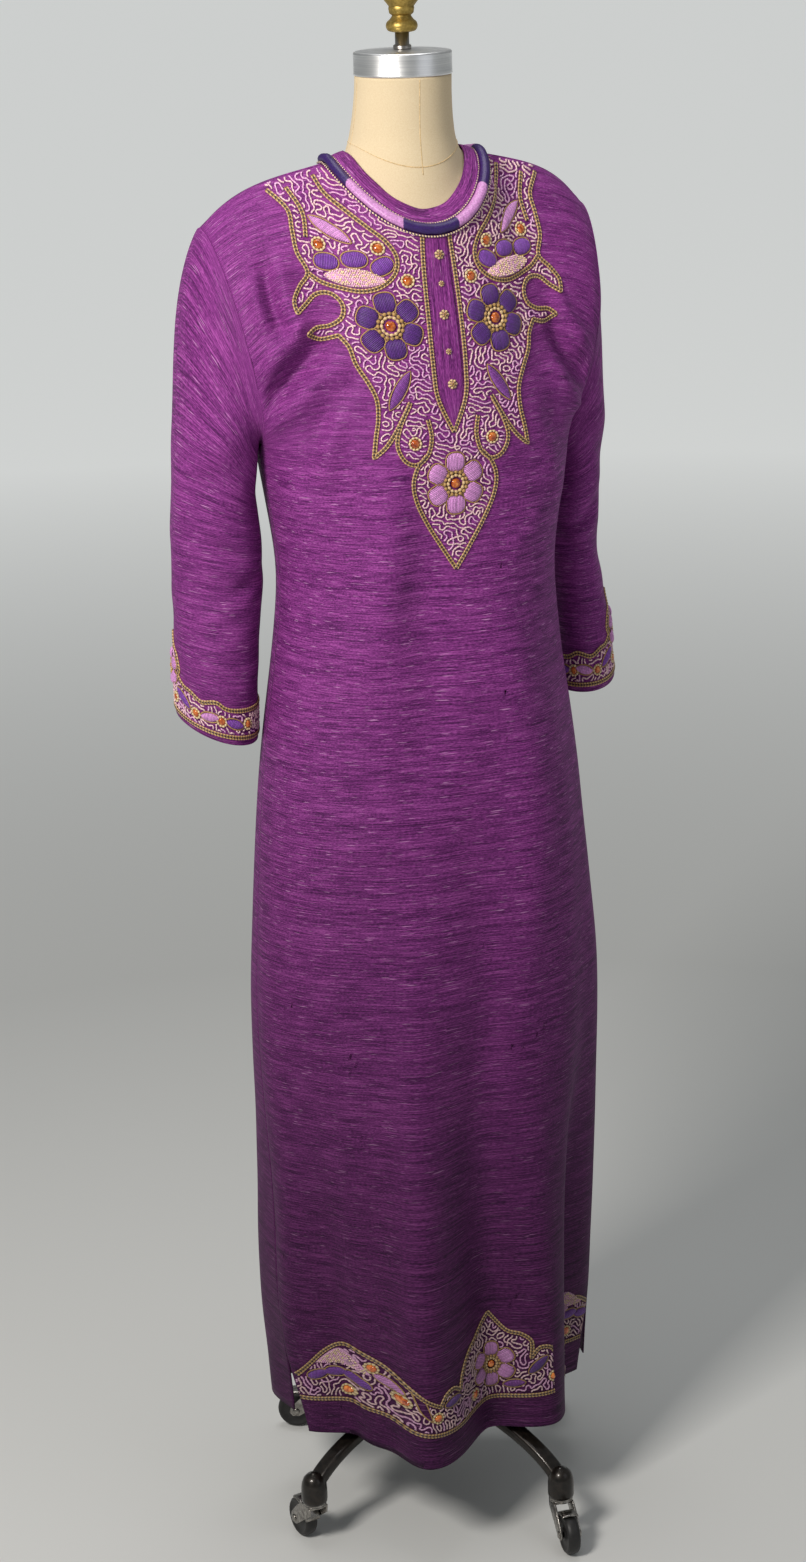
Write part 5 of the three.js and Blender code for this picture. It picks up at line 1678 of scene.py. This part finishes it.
class Embroidery:
    """Couched work of the yoke, the hem and the cuffs, from short outlines of its forms."""

    outer = [
        (151, 1536), (136, 1517), (136, 1497), (136, 1476), (129, 1456), (140, 1443), (149, 1430), (148, 1418),
        (137, 1425), (124, 1435), (110, 1435), (101, 1425), (103, 1412), (115, 1404), (130, 1402), (139, 1396),
        (124, 1390), (108, 1394), (100, 1382), (96, 1366), (86, 1347), (79, 1329), (79, 1309), (83, 1289), (86, 1270),
        (73, 1281), (61, 1297), (45, 1325),
    ]
    outer_sharp = (7, 15, 17, 24)
    loop = [(46, 1322), (57, 1301), (62, 1281), (55, 1265), (42, 1260), (30, 1269), (25, 1287), (28, 1306)]
    pendant = [(31, 1269), (42, 1256), (47, 1239), (43, 1219), (31, 1195), (15, 1169), (0, 1145)]
    paisley = [
        (103, 1549), (96, 1532), (82, 1515), (67, 1500), (51, 1485), (43, 1469), (47, 1453), (62, 1441), (80, 1437),
        (98, 1440), (116, 1446), (128, 1455),
    ]
    inner_edge = [(132, 1538), (122, 1514), (124, 1490)]
    placket_edge = [(15, 1489), (17, 1455), (18, 1415), (18, 1358), (15, 1325), (0, 1291)]
    hem_low = [
        (-184, 171), (-140, 173), (-112, 175), (-84, 171), (-52, 168), (-20, 167), (20, 167), (60, 169), (100, 171),
        (140, 173), (184, 170),
    ]
    hem_top = [
        (184, 212), (168, 225), (150, 227), (134, 220), (120, 210), (108, 206), (98, 213), (89, 226), (76, 228),
        (66, 216), (67, 236), (56, 246), (40, 251), (21, 274), (2, 254), (-16, 241), (-27, 224), (-31, 208),
        (-42, 216), (-54, 213), (-62, 202), (-78, 211), (-96, 226), (-112, 237), (-136, 245), (-156, 234),
        (-172, 215), (-184, 198),
    ]

    def __init__(self, kaftan: Kaftan) -> None:
        """Keeps the cloth that the work lies on."""
        self.kaftan = kaftan
        self.thread = COUCHED.build()
        self.amber = Amber().build()

    def finish(self, work: Worked, name: str, node: str) -> None:
        """Builds the thread and the stones of one ground."""
        work.threads.build(f"{name}_thread", work.ground, self.thread, "couching", (node,))
        work.stones.build(f"{name}_stones", work.ground, self.amber, "couching")

    def yoke(self) -> None:
        """Works the yoke."""
        front = self.kaftan.front
        work = Worked(front.over)
        top = front.surface.points[:, -1]
        halves = {}
        for side in (-1, 1):
            paths = [curve(mirrored(self.outer, side), sharp=self.outer_sharp)]
            for points in (self.loop, self.pendant, self.paisley, self.inner_edge, self.placket_edge):
                paths.append(curve(mirrored(points, side)))
            for path in paths:
                work.edge(path)
            halves[side] = paths
            work.leaf((side * 100, 1497), 90 - side * 52, 42, 11, Tone.LILAC, 0.9)
            work.leaf((side * 55, 1337), 90 + side * 32, 44, 11, Tone.PLUM, 0.9)
            for x, z, tilt in ((109, 1466, 8), (83, 1468, -2), (58, 1461, -26)):
                work.leaf((side * x, z), side * tilt, 22, 15, Tone.VIOLET, 0.42, 2.8, 0.0)
            turns = np.linspace(0, FULL_TURN, 33)[:-1]
            shape = np.stack([29 * np.cos(turns), 9.5 * np.sin(turns) * np.abs(np.sin(turns)) ** 0.25], axis=1)
            lean = math.radians(side * 6)
            spin = np.array([[math.cos(lean), math.sin(lean)], [-math.sin(lean), math.cos(lean)]])
            work.seeded(shape @ spin + [side * 85, 1450], 11 + side)
            for x, z in ((113, 1483), (60, 1479), (35, 1446), (43, 1282)):
                work.stone(side * x, z)
            work.flower((side * 58, 1402), 33, Tone.DARK_VIOLET, 97)
        work.flower((0, 1237), 32, Tone.LILAC, 90)
        left, right = halves[1], halves[-1]
        placket = np.vstack([left[-1], right[-1][::-1]])
        region = np.vstack([
            [(0, 1600), (151, 1600)], *left[:3], *[path[::-1] for path in right[2::-1]], [(-151, 1600)],
        ])

        def below_top(spots: Array) -> Array:
            """Returns: which spots lie on the panel and off the placket."""
            order = np.argsort(top[:, 0])
            edge = np.interp(spots[:, 0], top[order, 0], top[order, 2])
            return (spots[:, 1] < edge - 2.5) & ~inside(spots, placket)

        work.fill(region, 21, below_top)
        self.finish(work, "yoke", "yoke_embroidery")

    def hem(self) -> None:
        """Works the band above the front hem."""
        work = Worked(self.kaftan.front.over)
        low, top = curve(self.hem_low), curve(self.hem_top, sharp=(9, 13, 17, 20))
        work.edge(low)
        work.edge(top)
        for side, shift in ((-1, 0), (1, 8)):
            x = side * 146 + shift
            corners = [(x - side * 28, 217), (x - side * 4, 238), (x + side * 21, 217), (x, 218)]
            crescent = curve(corners, True, (0, 2))
            work.seeded(crescent if side > 0 else crescent[::-1], 31 + side, 2.0)
            for dx, z, tilt in ((-18, 205, 24), (0, 208, 2), (18, 203, -18)):
                work.leaf((x + side * dx, z), side * tilt, 20, 10, Tone.VIOLET, 0.5)
        for x, z in ((-118, 228), (-134, 187), (-97, 204), (-66, 190), (-4, 184), (92, 190), (112, 196), (150, 187)):
            work.stone(x, z, 4.6)
        work.leaf((-106, 217), -24, 22, 9, Tone.LILAC)
        work.leaf((-44, 202), 4, 24, 9, Tone.DARK_VIOLET)
        work.leaf((74, 207), 42, 28, 9, Tone.DARK_VIOLET)
        work.leaf((48, 184), 8, 22, 8, Tone.PLUM)
        opening = curve([(-92, 224), (-80, 212), (-72, 186), (-84, 198)], True, (0, 2))
        work.threads.tube(resample(opening, 1.8, True), 0.9, Tone.GOLD.light, 4, 0.1, True)
        work.holes.append(opening)
        work.flower((23, 209), 27, Tone.LILAC, 90)
        work.fill(np.vstack([low, top]), 22)
        self.finish(work, "hem", "hem_embroidery")

    def cuff(self, sleeve: Sleeve, peak_at: float) -> None:
        """Works a cuff, in a pattern of millimetres round the sleeve from the peak and above the cuff.

        Args:
            sleeve: the sleeve.
            peak_at: degrees round the sleeve of the band's point.
        """
        loop = sleeve.surface.points[:, -8]
        girth = float(np.linalg.norm(np.diff(loop, axis=0), axis=1).sum())

        def ground(x: Array, z: Array, height: Array) -> Array:
            """Returns: points over the sleeve from the flat pattern."""
            return sleeve.over(peak_at + x / girth * 360, z, height)

        half = girth / 2
        work = Worked(ground)
        rise = [(0, 98), (9, 84), (21, 76), (27, 62), (22, 54), (34, 46), (46, 44), (60, 38), (78, 42), (96, 36)]
        scallops = [(x, z) for x, z in rise if x < half - 10]
        low = np.array([(-half, 8), (-half / 2, 8), (0, 8), (half / 2, 8), (half, 8)])
        work.edge(resample(low, 3.0))
        for side in (-1, 1):
            top = curve([*mirrored(scallops, side), (side * half, 38)], sharp=(0, 4))
            work.edge(top)
        work.flower((0, 56), 22, Tone.LILAC, 90)
        for side in (-1, 1):
            work.leaf((side * 33, 31), side * -34, 26, 9, Tone.VIOLET)
            work.stone(side * 16, 24, 4.2)
            work.stone(side * 52, 22, 4.2)
            work.leaf((side * 70, 24), side * 8, 22, 9, Tone.LILAC)
            work.leaf((side * 100, 22), side * -12, 22, 9, Tone.VIOLET)
            work.stone(side * 84, 23, 4.2)
            work.stone(side * 118, 22, 4.2)
        outline = [*mirrored(scallops, 1), (half, 38), (half, 8), (-half, 8), (-half, 38)]
        work.fill(np.array([*outline, *mirrored(scallops, -1)[::-1]]), 23)
        self.finish(work, sleeve.name.replace("sleeve", "cuff"), sleeve.name.replace("sleeve", "cuff_embroidery"))

    def build(self) -> None:
        """Works everything."""
        self.yoke()
        self.hem()
        self.cuff(self.kaftan.right, -20)
        self.cuff(self.kaftan.left, 28)


def swept(rings: Array) -> BMesh:
    """Closes a run of rings into a solid.

    Args:
        rings: points in garment millimetres, rings by points round each.

    Returns:
        The closed mesh.
    """
    bm, _ = laid_grid(place(np.swapaxes(np.hstack([rings, rings[:, :1]]), 0, 1)))
    bmesh.ops.remove_doubles(bm, verts=bm.verts[:], dist=WELD)
    bmesh.ops.holes_fill(bm, edges=[edge for edge in bm.edges if edge.is_boundary])
    bmesh.ops.recalc_face_normals(bm, faces=bm.faces[:])
    return bm


def lathe(profile: list[Point], steps: int = 64) -> BMesh:
    """Spins a profile round the upright axis.

    Args:
        profile: pairs of radius and height in millimetres.
        steps: how many steps go round.

    Returns:
        The closed mesh.
    """
    bm = bmesh.new()
    verts = [bm.verts.new((radius * MM, 0, z * MM)) for radius, z in profile]
    edges = [bm.edges.new(pair) for pair in zip(verts, verts[1:])]
    bmesh.ops.spin(bm, geom=verts + edges, cent=(0, 0, 0), axis=(0, 0, 1), angle=FULL_TURN, steps=steps,
                   use_merge=True)
    bmesh.ops.remove_doubles(bm, verts=bm.verts[:], dist=WELD)
    bmesh.ops.recalc_face_normals(bm, faces=bm.faces[:])
    return bm


def moved(bm: BMesh, spot: tuple[float, float, float] = (0, 0, 0), degrees: float = 0.0,
          tip: float = 0.0) -> BMesh:
    """Tips, turns and moves a mesh.

    Args:
        bm: the mesh.
        spot: where it goes, in millimetres.
        degrees: its turn about the upright axis.
        tip: its turn about the across axis, which comes first.

    Returns:
        The same mesh.
    """
    bmesh.ops.rotate(bm, verts=bm.verts[:], matrix=Matrix.Rotation(math.radians(tip), 3, "X"))
    bmesh.ops.rotate(bm, verts=bm.verts[:], matrix=Matrix.Rotation(math.radians(degrees), 3, "Z"))
    bmesh.ops.translate(bm, verts=bm.verts[:], vec=Vector(spot) * MM)
    return bm


def bevelled(bm: BMesh, size: float) -> BMesh:
    """Rounds every edge of a mesh by a size in millimetres and returns it."""
    bmesh.ops.bevel(bm, geom=bm.edges[:], offset=size * MM, affect="EDGES", segments=2, profile=0.5, material=-1)
    return bm


def gathered(parts: list[BMesh]) -> BMesh:
    """Joins meshes without welding them.

    Args:
        parts: the meshes, which are freed.

    Returns:
        One mesh.
    """
    whole = bmesh.new()
    for part in parts:
        mesh = bpy.data.meshes.new("part")
        part.to_mesh(mesh)
        part.free()
        whole.from_mesh(mesh)
        bpy.data.meshes.remove(mesh)
    return whole


def standing(bm: BMesh) -> BMesh:
    """Returns: a mesh about the pole, moved from the pole's own frame to the shared one."""
    bmesh.ops.translate(bm, verts=bm.verts[:], vec=Vector(place(np.zeros(3))))
    return bm


class Trims:
    """The satin-wound roll round the neck with its edging cords, and the knots down the placket."""

    ring_mm = 86.0
    wraps = ((-112, -62), (-22, 17), (52, 95), (140, 185), (-152, -134))

    def __init__(self, kaftan: Kaftan) -> None:
        """Keeps the cloth and makes the thread finishes."""
        self.kaftan = kaftan
        self.satin = WOUND.build()
        self.cord = KNOTTED.build()

    def ground(self, x: Array, out: Array, height: Array) -> Array:
        """Returns: points by millimetres round the neckline, away from the neck and over the figure."""
        angle = x / self.ring_mm
        slope = PATTERN.neck_slope(angle)
        up = unit(points_of(np.sin(angle) * slope, -np.cos(angle) * slope, np.ones_like(slope)))
        return PATTERN.neckline(angle, out) + up * np.asarray(height)[..., None]

    def roll(self) -> None:
        """Winds the roll: each turn of ribbon is one ridge, in violet and lilac lengths."""
        turns = 860
        places = np.arange(turns) / turns * FULL_TURN
        around = np.arange(12) / 12 * FULL_TURN
        degrees = turn(0, np.degrees(places))
        dark = np.zeros(turns, dtype=bool)
        for low, high in self.wraps:
            dark |= ((degrees > low) & (degrees < high)) | (degrees + 360 < high)
        size = 4.7 + 0.2 * (np.arange(turns) % 2) + 0.12 * np.sin(places * 31)
        tint = np.where(dark[:, None], Tone.INDIGO.light, Tone.LILAC.light * 0.95)
        pile = Pile()
        x = np.repeat(places * self.ring_mm, around.size)
        out = (size[:, None] * np.cos(around)).ravel()
        height = (size[:, None] * np.sin(around)).ravel() + 3.0
        quads = ring_faces(turns, around.size, True)[:, [1, 0, 3, 2]]
        tints = np.repeat(tint, around.size, axis=0)
        pile.add(np.stack([x, out, height], axis=1), quads, np.zeros((0, 3)), tints)
        beads = np.arange(720)
        where = beads / beads.size * FULL_TURN * self.ring_mm
        beat = beads % 4
        bead = np.where((beat < 2)[:, None], Tone.CREAM.light * 1.25, Tone.DARK_VIOLET.light * 0.7)
        for away, lift, size in ((-6.3, 0.5, 0.9), (6.2, 0.6, 0.8)):
            path = np.stack([where, np.full(beads.size, away)], axis=1)
            pile.tube(path, size * np.where(beat % 2 == 0, 1.15, 0.9), bead, 5, lift, False)
        pile.build("neck_roll_satin", self.ground, self.satin, "satin_roll", ("neck_roll",))

    def knots(self) -> None:
        """Ties the knots: three large rosettes and two small ones between them."""
        pile = Pile()
        for x, z, radius in ((1, 1470, 5), (0, 1441, 3), (-1, 1410, 5), (0, 1373, 3), (1, 1340, 5)):
            pile.dome(circle((x, z), radius * 0.8, 10), radius * 0.75, Tone.TAN.light * 0.5, 3, 0.9)
            pile.ring((x, z), radius * 0.72, radius * 0.3, (Tone.PALE_GOLD, Tone.DOT), 7, 1.3)
            pile.ring((x, z), radius * 0.32, radius * 0.26, (Tone.GOLD, Tone.PLUM), 5, 1.9 + radius * 0.22)
        pile.build("placket_knots", self.kaftan.front.over, self.cord, "knot_cord",
                   tuple(f"knot_button_{n}" for n in range(1, 6)))

    def build(self) -> None:
        """Builds both."""
        self.roll()
        self.knots()


class DressForm:
    """Limbless padded form: canvas torso and neck with their seams, cap, stub, knob and screw."""

    gap = 1.3
    low_z = 800.0
    top_z = 1646.7
    neck_mm = 53.0
    rings = Rows("z radius y", [(1583, 56, 8), (1605, 53, 5), (1628, 51.3, 2), (1646.7, 51, 0)])

    def torso(self, facing: int) -> Array:
        """Returns: the torso's front or back face, columns by rows, inside the worn cloth."""
        across = np.linspace(-1, 1, 51)[:, None]
        up = np.concatenate([np.linspace(0, 1, 13), np.linspace(1, 2, 19)[1:]])[None, :]
        away, side = np.abs(across), np.sign(across)
        z = mix(self.low_z, PATTERN.chest_z, np.clip(up, 0, 1))
        angle = np.radians(across * 90 if facing < 0 else 180 - across * 90)
        edge = PATTERN.section(angle, z, False)
        share = (mix(0.87, 0.9, np.clip(up, 0, 1)) - bell(z - 1110, 90) * 0.13)[..., None]
        centre = points_of(0 * z, PATTERN.sections.at("seamY", z), z)
        low = centre + (edge - centre) * share
        skin = Surface(PATTERN.panel(facing, across * 0.985, np.maximum(up, 1)), -facing)
        w = np.clip(up - 1, 0, 1)
        depth = PATTERN.cloth + self.gap + 0.6 + 14 * smooth((0.55 - w) / 0.5) + 9 * smooth((away - 0.7) / 0.3)
        depth += 15 * smooth((away - 0.45) / 0.2) * smooth((0.94 - w) / 0.12)
        high = skin.points - unit(skin.normals) * depth[..., None]
        high[..., 0] -= side * 4 * smooth((away - 0.9) / 0.1)
        grid = np.where((up <= 1.001)[..., None], low, high)
        edge = PATTERN.top_edge(facing, across[:, 0])
        edge[:, 0] -= side[:, 0] * 9 * smooth((away[:, 0] - 0.6) / 0.4)
        edge[:, 2] -= 3.6 + 12 * smooth((away[:, 0] - 0.75) / 0.25)
        worn = away[:, 0] > PATTERN.share
        grid[worn, -1] = edge[worn]
        return grid

    def neck(self) -> Surface:
        """Returns: the neck's surface, from under the neckline up to the cap."""
        angle = np.linspace(-math.pi, math.pi, 121)
        slope = PATTERN.neck_slope(angle)
        down = unit(points_of(-np.sin(angle) * slope, np.cos(angle) * slope, -np.ones_like(angle)))
        edge = -PATTERN.roll_radius - 0.4
        depth = PATTERN.cloth + self.gap
        rings = [PATTERN.neckline(angle, out) + down * below for out, below in (
            (-14, 55), (-3, depth + 1), (edge, depth + 0.2), (edge - PATTERN.band_width, depth + 0.2))]
        for z in (1583.0, 1605.0, 1628.0, self.top_z):
            radius, forward = self.rings.at("radius", z), self.rings.at("y", z)
            rings.append(points_of(radius * np.sin(angle), forward - radius * np.cos(angle), z + 0 * angle))
        knots = np.array(rings)
        steps = np.linspace(0, len(rings) - 1, 57)
        low = np.minimum(steps.astype(int), len(rings) - 2)
        part = (steps - low)[:, None, None]
        grid = knots[low] * (1 - part) + knots[low + 1] * part
        return Surface(np.swapaxes(grid, 0, 1).copy(), 1, 5, True)

    def canvas(self) -> None:
        """Builds the canvas body in one closed piece with its neck, and the corded seams."""
        body = gathered([laid_grid(place(self.torso(facing)))[0] for facing in (-1, 1)])
        bmesh.ops.remove_doubles(body, verts=body.verts[:], dist=2e-4)
        bmesh.ops.holes_fill(body, edges=[edge for edge in body.edges if edge.is_boundary])
        bmesh.ops.recalc_face_normals(body, faces=body.faces[:])
        surface = self.neck()
        neck = swept(np.swapaxes(surface.points[:-1], 0, 1))
        finish_piece("form_canvas", gathered([body, neck]), CANVAS.build(), "canvas", "root", ("form_torso",))
        heights = surface.points[60, :, 2]

        def ground(x: Array, z: Array, height: Array) -> Array:
            """Returns: points over the neck, by millimetres round it and heights at its front."""
            rows = np.interp(z, heights[18:], np.arange(18, len(heights)))
            return surface.at((x / self.neck_mm + math.pi) / FULL_TURN * 120, rows, height)

        seams = Pile()
        tint = np.array(linear("#cdb184")[:3])
        half = math.pi * self.neck_mm
        x = np.linspace(-half, half, 241)
        ring = np.stack([x, 1556 + 12 * (1 - np.cos(x / self.neck_mm)) / 2], axis=1)
        seams.tube(ring, 0.75, tint, 6, -0.75)
        for at in (0.0, half - 0.5, half / 2, -half / 2):
            seams.tube(np.stack([np.full(30, at), np.linspace(1548, 1645, 30)], axis=1), 0.6, tint, 6, -0.7)
        seams.build("form_seams", ground, SEAM.build(), "canvas")

    def metal(self) -> None:
        """Builds the brushed cap, the stub, the dull gold knob and its screw."""
        low = self.top_z + 0.3
        cap = [(0, low), (50.8, low), (51.9, low + 0.5), (52.1, low + 1.6), (51.7, low + 2.6), (51.7, low + 21.6),
               (51.4, low + 23), (50.3, low + 23.9), (48, low + 24.3), (20, low + 25.4), (0, low + 25.5)]
        finish_piece("neck_cap_brushed", standing(lathe(cap, 96)), ALUMINIUM.build(), "aluminium", "root",
                     ("neck_cap",))
        foot = low + 25.8
        stub = [(0, foot), (9.3, foot), (9.5, foot + 0.4), (9.5, foot + 3.6), (8.6, foot + 4.4), (7.4, foot + 4.8),
                (7.4, foot + 17), (0, foot + 17)]
        finish_piece("stub_rod", standing(lathe(stub, 48)), STEEL.build(), "steel", "root", ("finial_stub",))
        foot += 17.3
        shape = [(10, 0), (14.5, 1.5), (16.6, 5.5), (15.6, 10), (12, 13.5), (9.6, 18), (11, 23), (15, 28.5),
                 (19.6, 35), (21, 42), (18.8, 50), (12.5, 56.5), (9.2, 61), (8.8, 66), (5, 72)]
        knob = [(0.0, foot), *[(r, foot + z) for r, z in curve(shape).tolist()], (0.0, foot + 73)]
        collar = [(0, 17), (10.5, 17), (13.6, 19.4), (14.4, 24), (13.6, 28), (11, 30), (0, 30)]
        facets = lathe([(r, foot + z) for r, z in collar], 8)
        finish_piece("finial_knob", standing(gathered([lathe(knob, 64), facets])), GOLD.build(), "brass", "root",
                     ("finial",))
        screw = lathe([(0, 0), (2.6, 0), (2.6, 9), (5.6, 9.4), (6.5, 10.4), (6.3, 12.5), (6.5, 14.8), (5.4, 15.8),
                       (0, 16)], 20)
        spot = (21.4 * MM, 0, (foot + 42) * MM)
        bmesh.ops.rotate(screw, verts=screw.verts[:], matrix=Matrix.Rotation(RIGHT_ANGLE, 3, "Y"))
        bmesh.ops.translate(screw, verts=screw.verts[:], vec=spot)
        finish_piece("thumb_screw_head", standing(screw), SCREW.build(), "iron", "root", ("thumb_screw",))

    def build(self) -> None:
        """Builds the form."""
        self.canvas()
        self.metal()


class Stand:
    """Pole, cast hub with four arched legs, and four hooded casters, each fork and wheel on a body of its own."""

    legs = (25, 115, 205, 295)
    trails = (60, 155, 100, -95)
    reach = 200.0
    trail = 30.0
    wheel = 23.0
    arch = ((12, 124), (90, 132), (176, 106), (200, 74))

    def stem(self, degrees: float) -> tuple[float, float, float]:
        """Returns: the place of a leg's caster stem about the pole."""
        x, y = self.reach * ways(degrees)[0]
        return x, y, 0.0

    def leg(self, degrees: float) -> BMesh:
        """Returns: one leg, a rounded bar that arches down to its end."""
        t = np.linspace(0, 1, 29)[:, None]
        a, b, c, d = (np.array(p, dtype=float) for p in self.arch)
        path = (1 - t) ** 3 * a + 3 * (1 - t) ** 2 * t * b + 3 * (1 - t) * t**2 * c + t**3 * d
        way = unit(np.gradient(path, axis=0))
        turns = np.linspace(0, FULL_TURN, 25)[:-1]
        wide = 10 * signed_power(np.cos(turns), 0.45)
        high = 7 * signed_power(np.sin(turns), 0.6)
        x = path[:, :1] - way[:, 1:] * high
        z = path[:, 1:] + way[:, :1] * high
        y = np.broadcast_to(wide, x.shape)
        cos, sin = ways(degrees)[0]
        return swept(points_of(x * cos - y * sin, x * sin + y * cos, z))

    def base(self, iron: Material) -> None:
        """Builds the casting and the pole."""
        hub = lathe([(0, 106), (22, 106), (25, 107.5), (27, 111), (27, 174), (25.5, 180), (19, 186), (17, 189),
                     (17, 198.6), (16, 200), (0, 200)], 48)
        parts = [standing(hub)]
        boss = [(0, 56), (13.4, 56), (14.6, 57.2), (15, 60), (15, 73), (14.2, 80), (11.8, 86), (8, 90), (3.6, 91.8),
                (3.4, 92.3), (2.8, 92.8), (0, 93)]
        for degrees in self.legs:
            parts += [self.leg(degrees), standing(moved(lathe(boss, 36), self.stem(degrees)))]
        finish_piece("base_iron", gathered(parts), iron, "iron", "root", ("base_casting",))
        pole = [(0, 200.3), (11, 200.3), (11, 799.7), (0, 799.7)]
        finish_piece("pole_tube", standing(lathe(pole, 32)), iron, "iron", "root", ("stand_pole",))

    def fork(self) -> BMesh:
        """Returns: a fork about its swivel: race, bridge, hood, cheeks and axle."""
        race = lathe([(0, 50.9), (12.4, 50.9), (13.4, 51.8), (13.4, 53.2), (12.2, 53.8), (13, 54.6), (12.4, 55.7),
                      (0, 55.7)], 32)
        bridge = bmesh.new()
        bmesh.ops.create_cube(bridge, size=1.0)
        bmesh.ops.scale(bridge, vec=Vector((20, 21, 4)) * MM, verts=bridge.verts[:])
        bmesh.ops.translate(bridge, vec=Vector((0, 0, 51.6)) * MM, verts=bridge.verts[:])
        bevelled(bridge, 1.2)
        cheeks = []
        outline = [(-9, 52), (11, 52), (22, 44), (36, 29), (38, 22), (34, 17.2), (26, 17.2), (20, 21), (4, 33),
                   (-8, 42)]
        for side in (-1, 1):
            plate = bmesh.new()
            face = plate.faces.new([plate.verts.new((x * MM, side * 9.7 * MM, z * MM)) for x, z in outline])
            solid = bmesh.ops.extrude_face_region(plate, geom=[face])
            new = [item for item in solid["geom"] if isinstance(item, bmesh.types.BMVert)]
            bmesh.ops.translate(plate, verts=new, vec=(0, side * 2.4 * MM, 0))
            bmesh.ops.recalc_face_normals(plate, faces=plate.faces[:])
            cheeks.append(bevelled(plate, 0.5))
        turns = np.radians(np.linspace(12, 104, 15))[:, None]
        across = np.array([-9.6, -9.2, -7.5, 0, 7.5, 9.2, 9.6])
        crown = np.array([24.4, 25.6, 26.3, 26.6, 26.3, 25.6, 24.4])
        shell = points_of(self.trail - crown * np.cos(turns), across, self.wheel + crown * np.sin(turns))
        hood, _ = laid_grid(shell * MM)
        bmesh.ops.recalc_face_normals(hood, faces=hood.faces[:])
        bmesh.ops.solidify(hood, geom=hood.faces[:], thickness=0.9 * MM)
        axle = lathe([(0, -13.6), (3.2, -13.6), (4.6, -12.8), (4.6, -12.2), (3, -12.2), (3, 12.2), (4.6, 12.2),
                      (4.6, 12.8), (3.2, 13.6), (0, 13.6)], 20)
        return gathered([race, bridge, *cheeks, hood, moved(axle, (self.trail, 0, self.wheel), 0, 90)])

    def tyre(self) -> BMesh:
        """Returns: a wheel about its swivel, with a crowned tread and dished sides."""
        half = [(3.6, -7.4), (7.2, -7.4), (8, -6.5), (9, -6.1), (17, -6.1), (18.4, -7.2), (20.6, -7.2), (22.2, -5.6),
                (23, -2.6)]
        profile = [*half, *[(r, -y) for r, y in reversed(half)], half[0]]
        return moved(lathe(profile, 48), (self.trail, 0, self.wheel), 0, 90)

    def build(self) -> None:
        """Builds the stand."""
        self.base(ENAMEL.build())
        plated, rubber = PLATED.build(), RUBBER.build()
        for number, (degrees, trail) in enumerate(zip(self.legs, self.trails), 1):
            spot = self.stem(degrees)
            finish_piece(f"fork_plated_{number}", standing(moved(self.fork(), spot, trail)), plated, "iron",
                         f"fork_{number}", (f"caster_fork_{number}",))
            finish_piece(f"wheel_rubber_{number}", standing(moved(self.tyre(), spot, trail)), rubber, "tyre",
                         f"wheel_{number}", (f"caster_wheel_{number}",))


def main() -> None:
    """Builds the whole part in order."""
    logging.basicConfig(level=logging.INFO, format="%(message)s")
    Viewpoint().build()
    silk = SlubbedSilk().build()
    kaftan = Kaftan()
    kaftan.build(silk)
    Embroidery(kaftan).build()
    Trims(kaftan).build()
    DressForm().build()
    Stand().build()


if __name__ == "__main__":
    main()
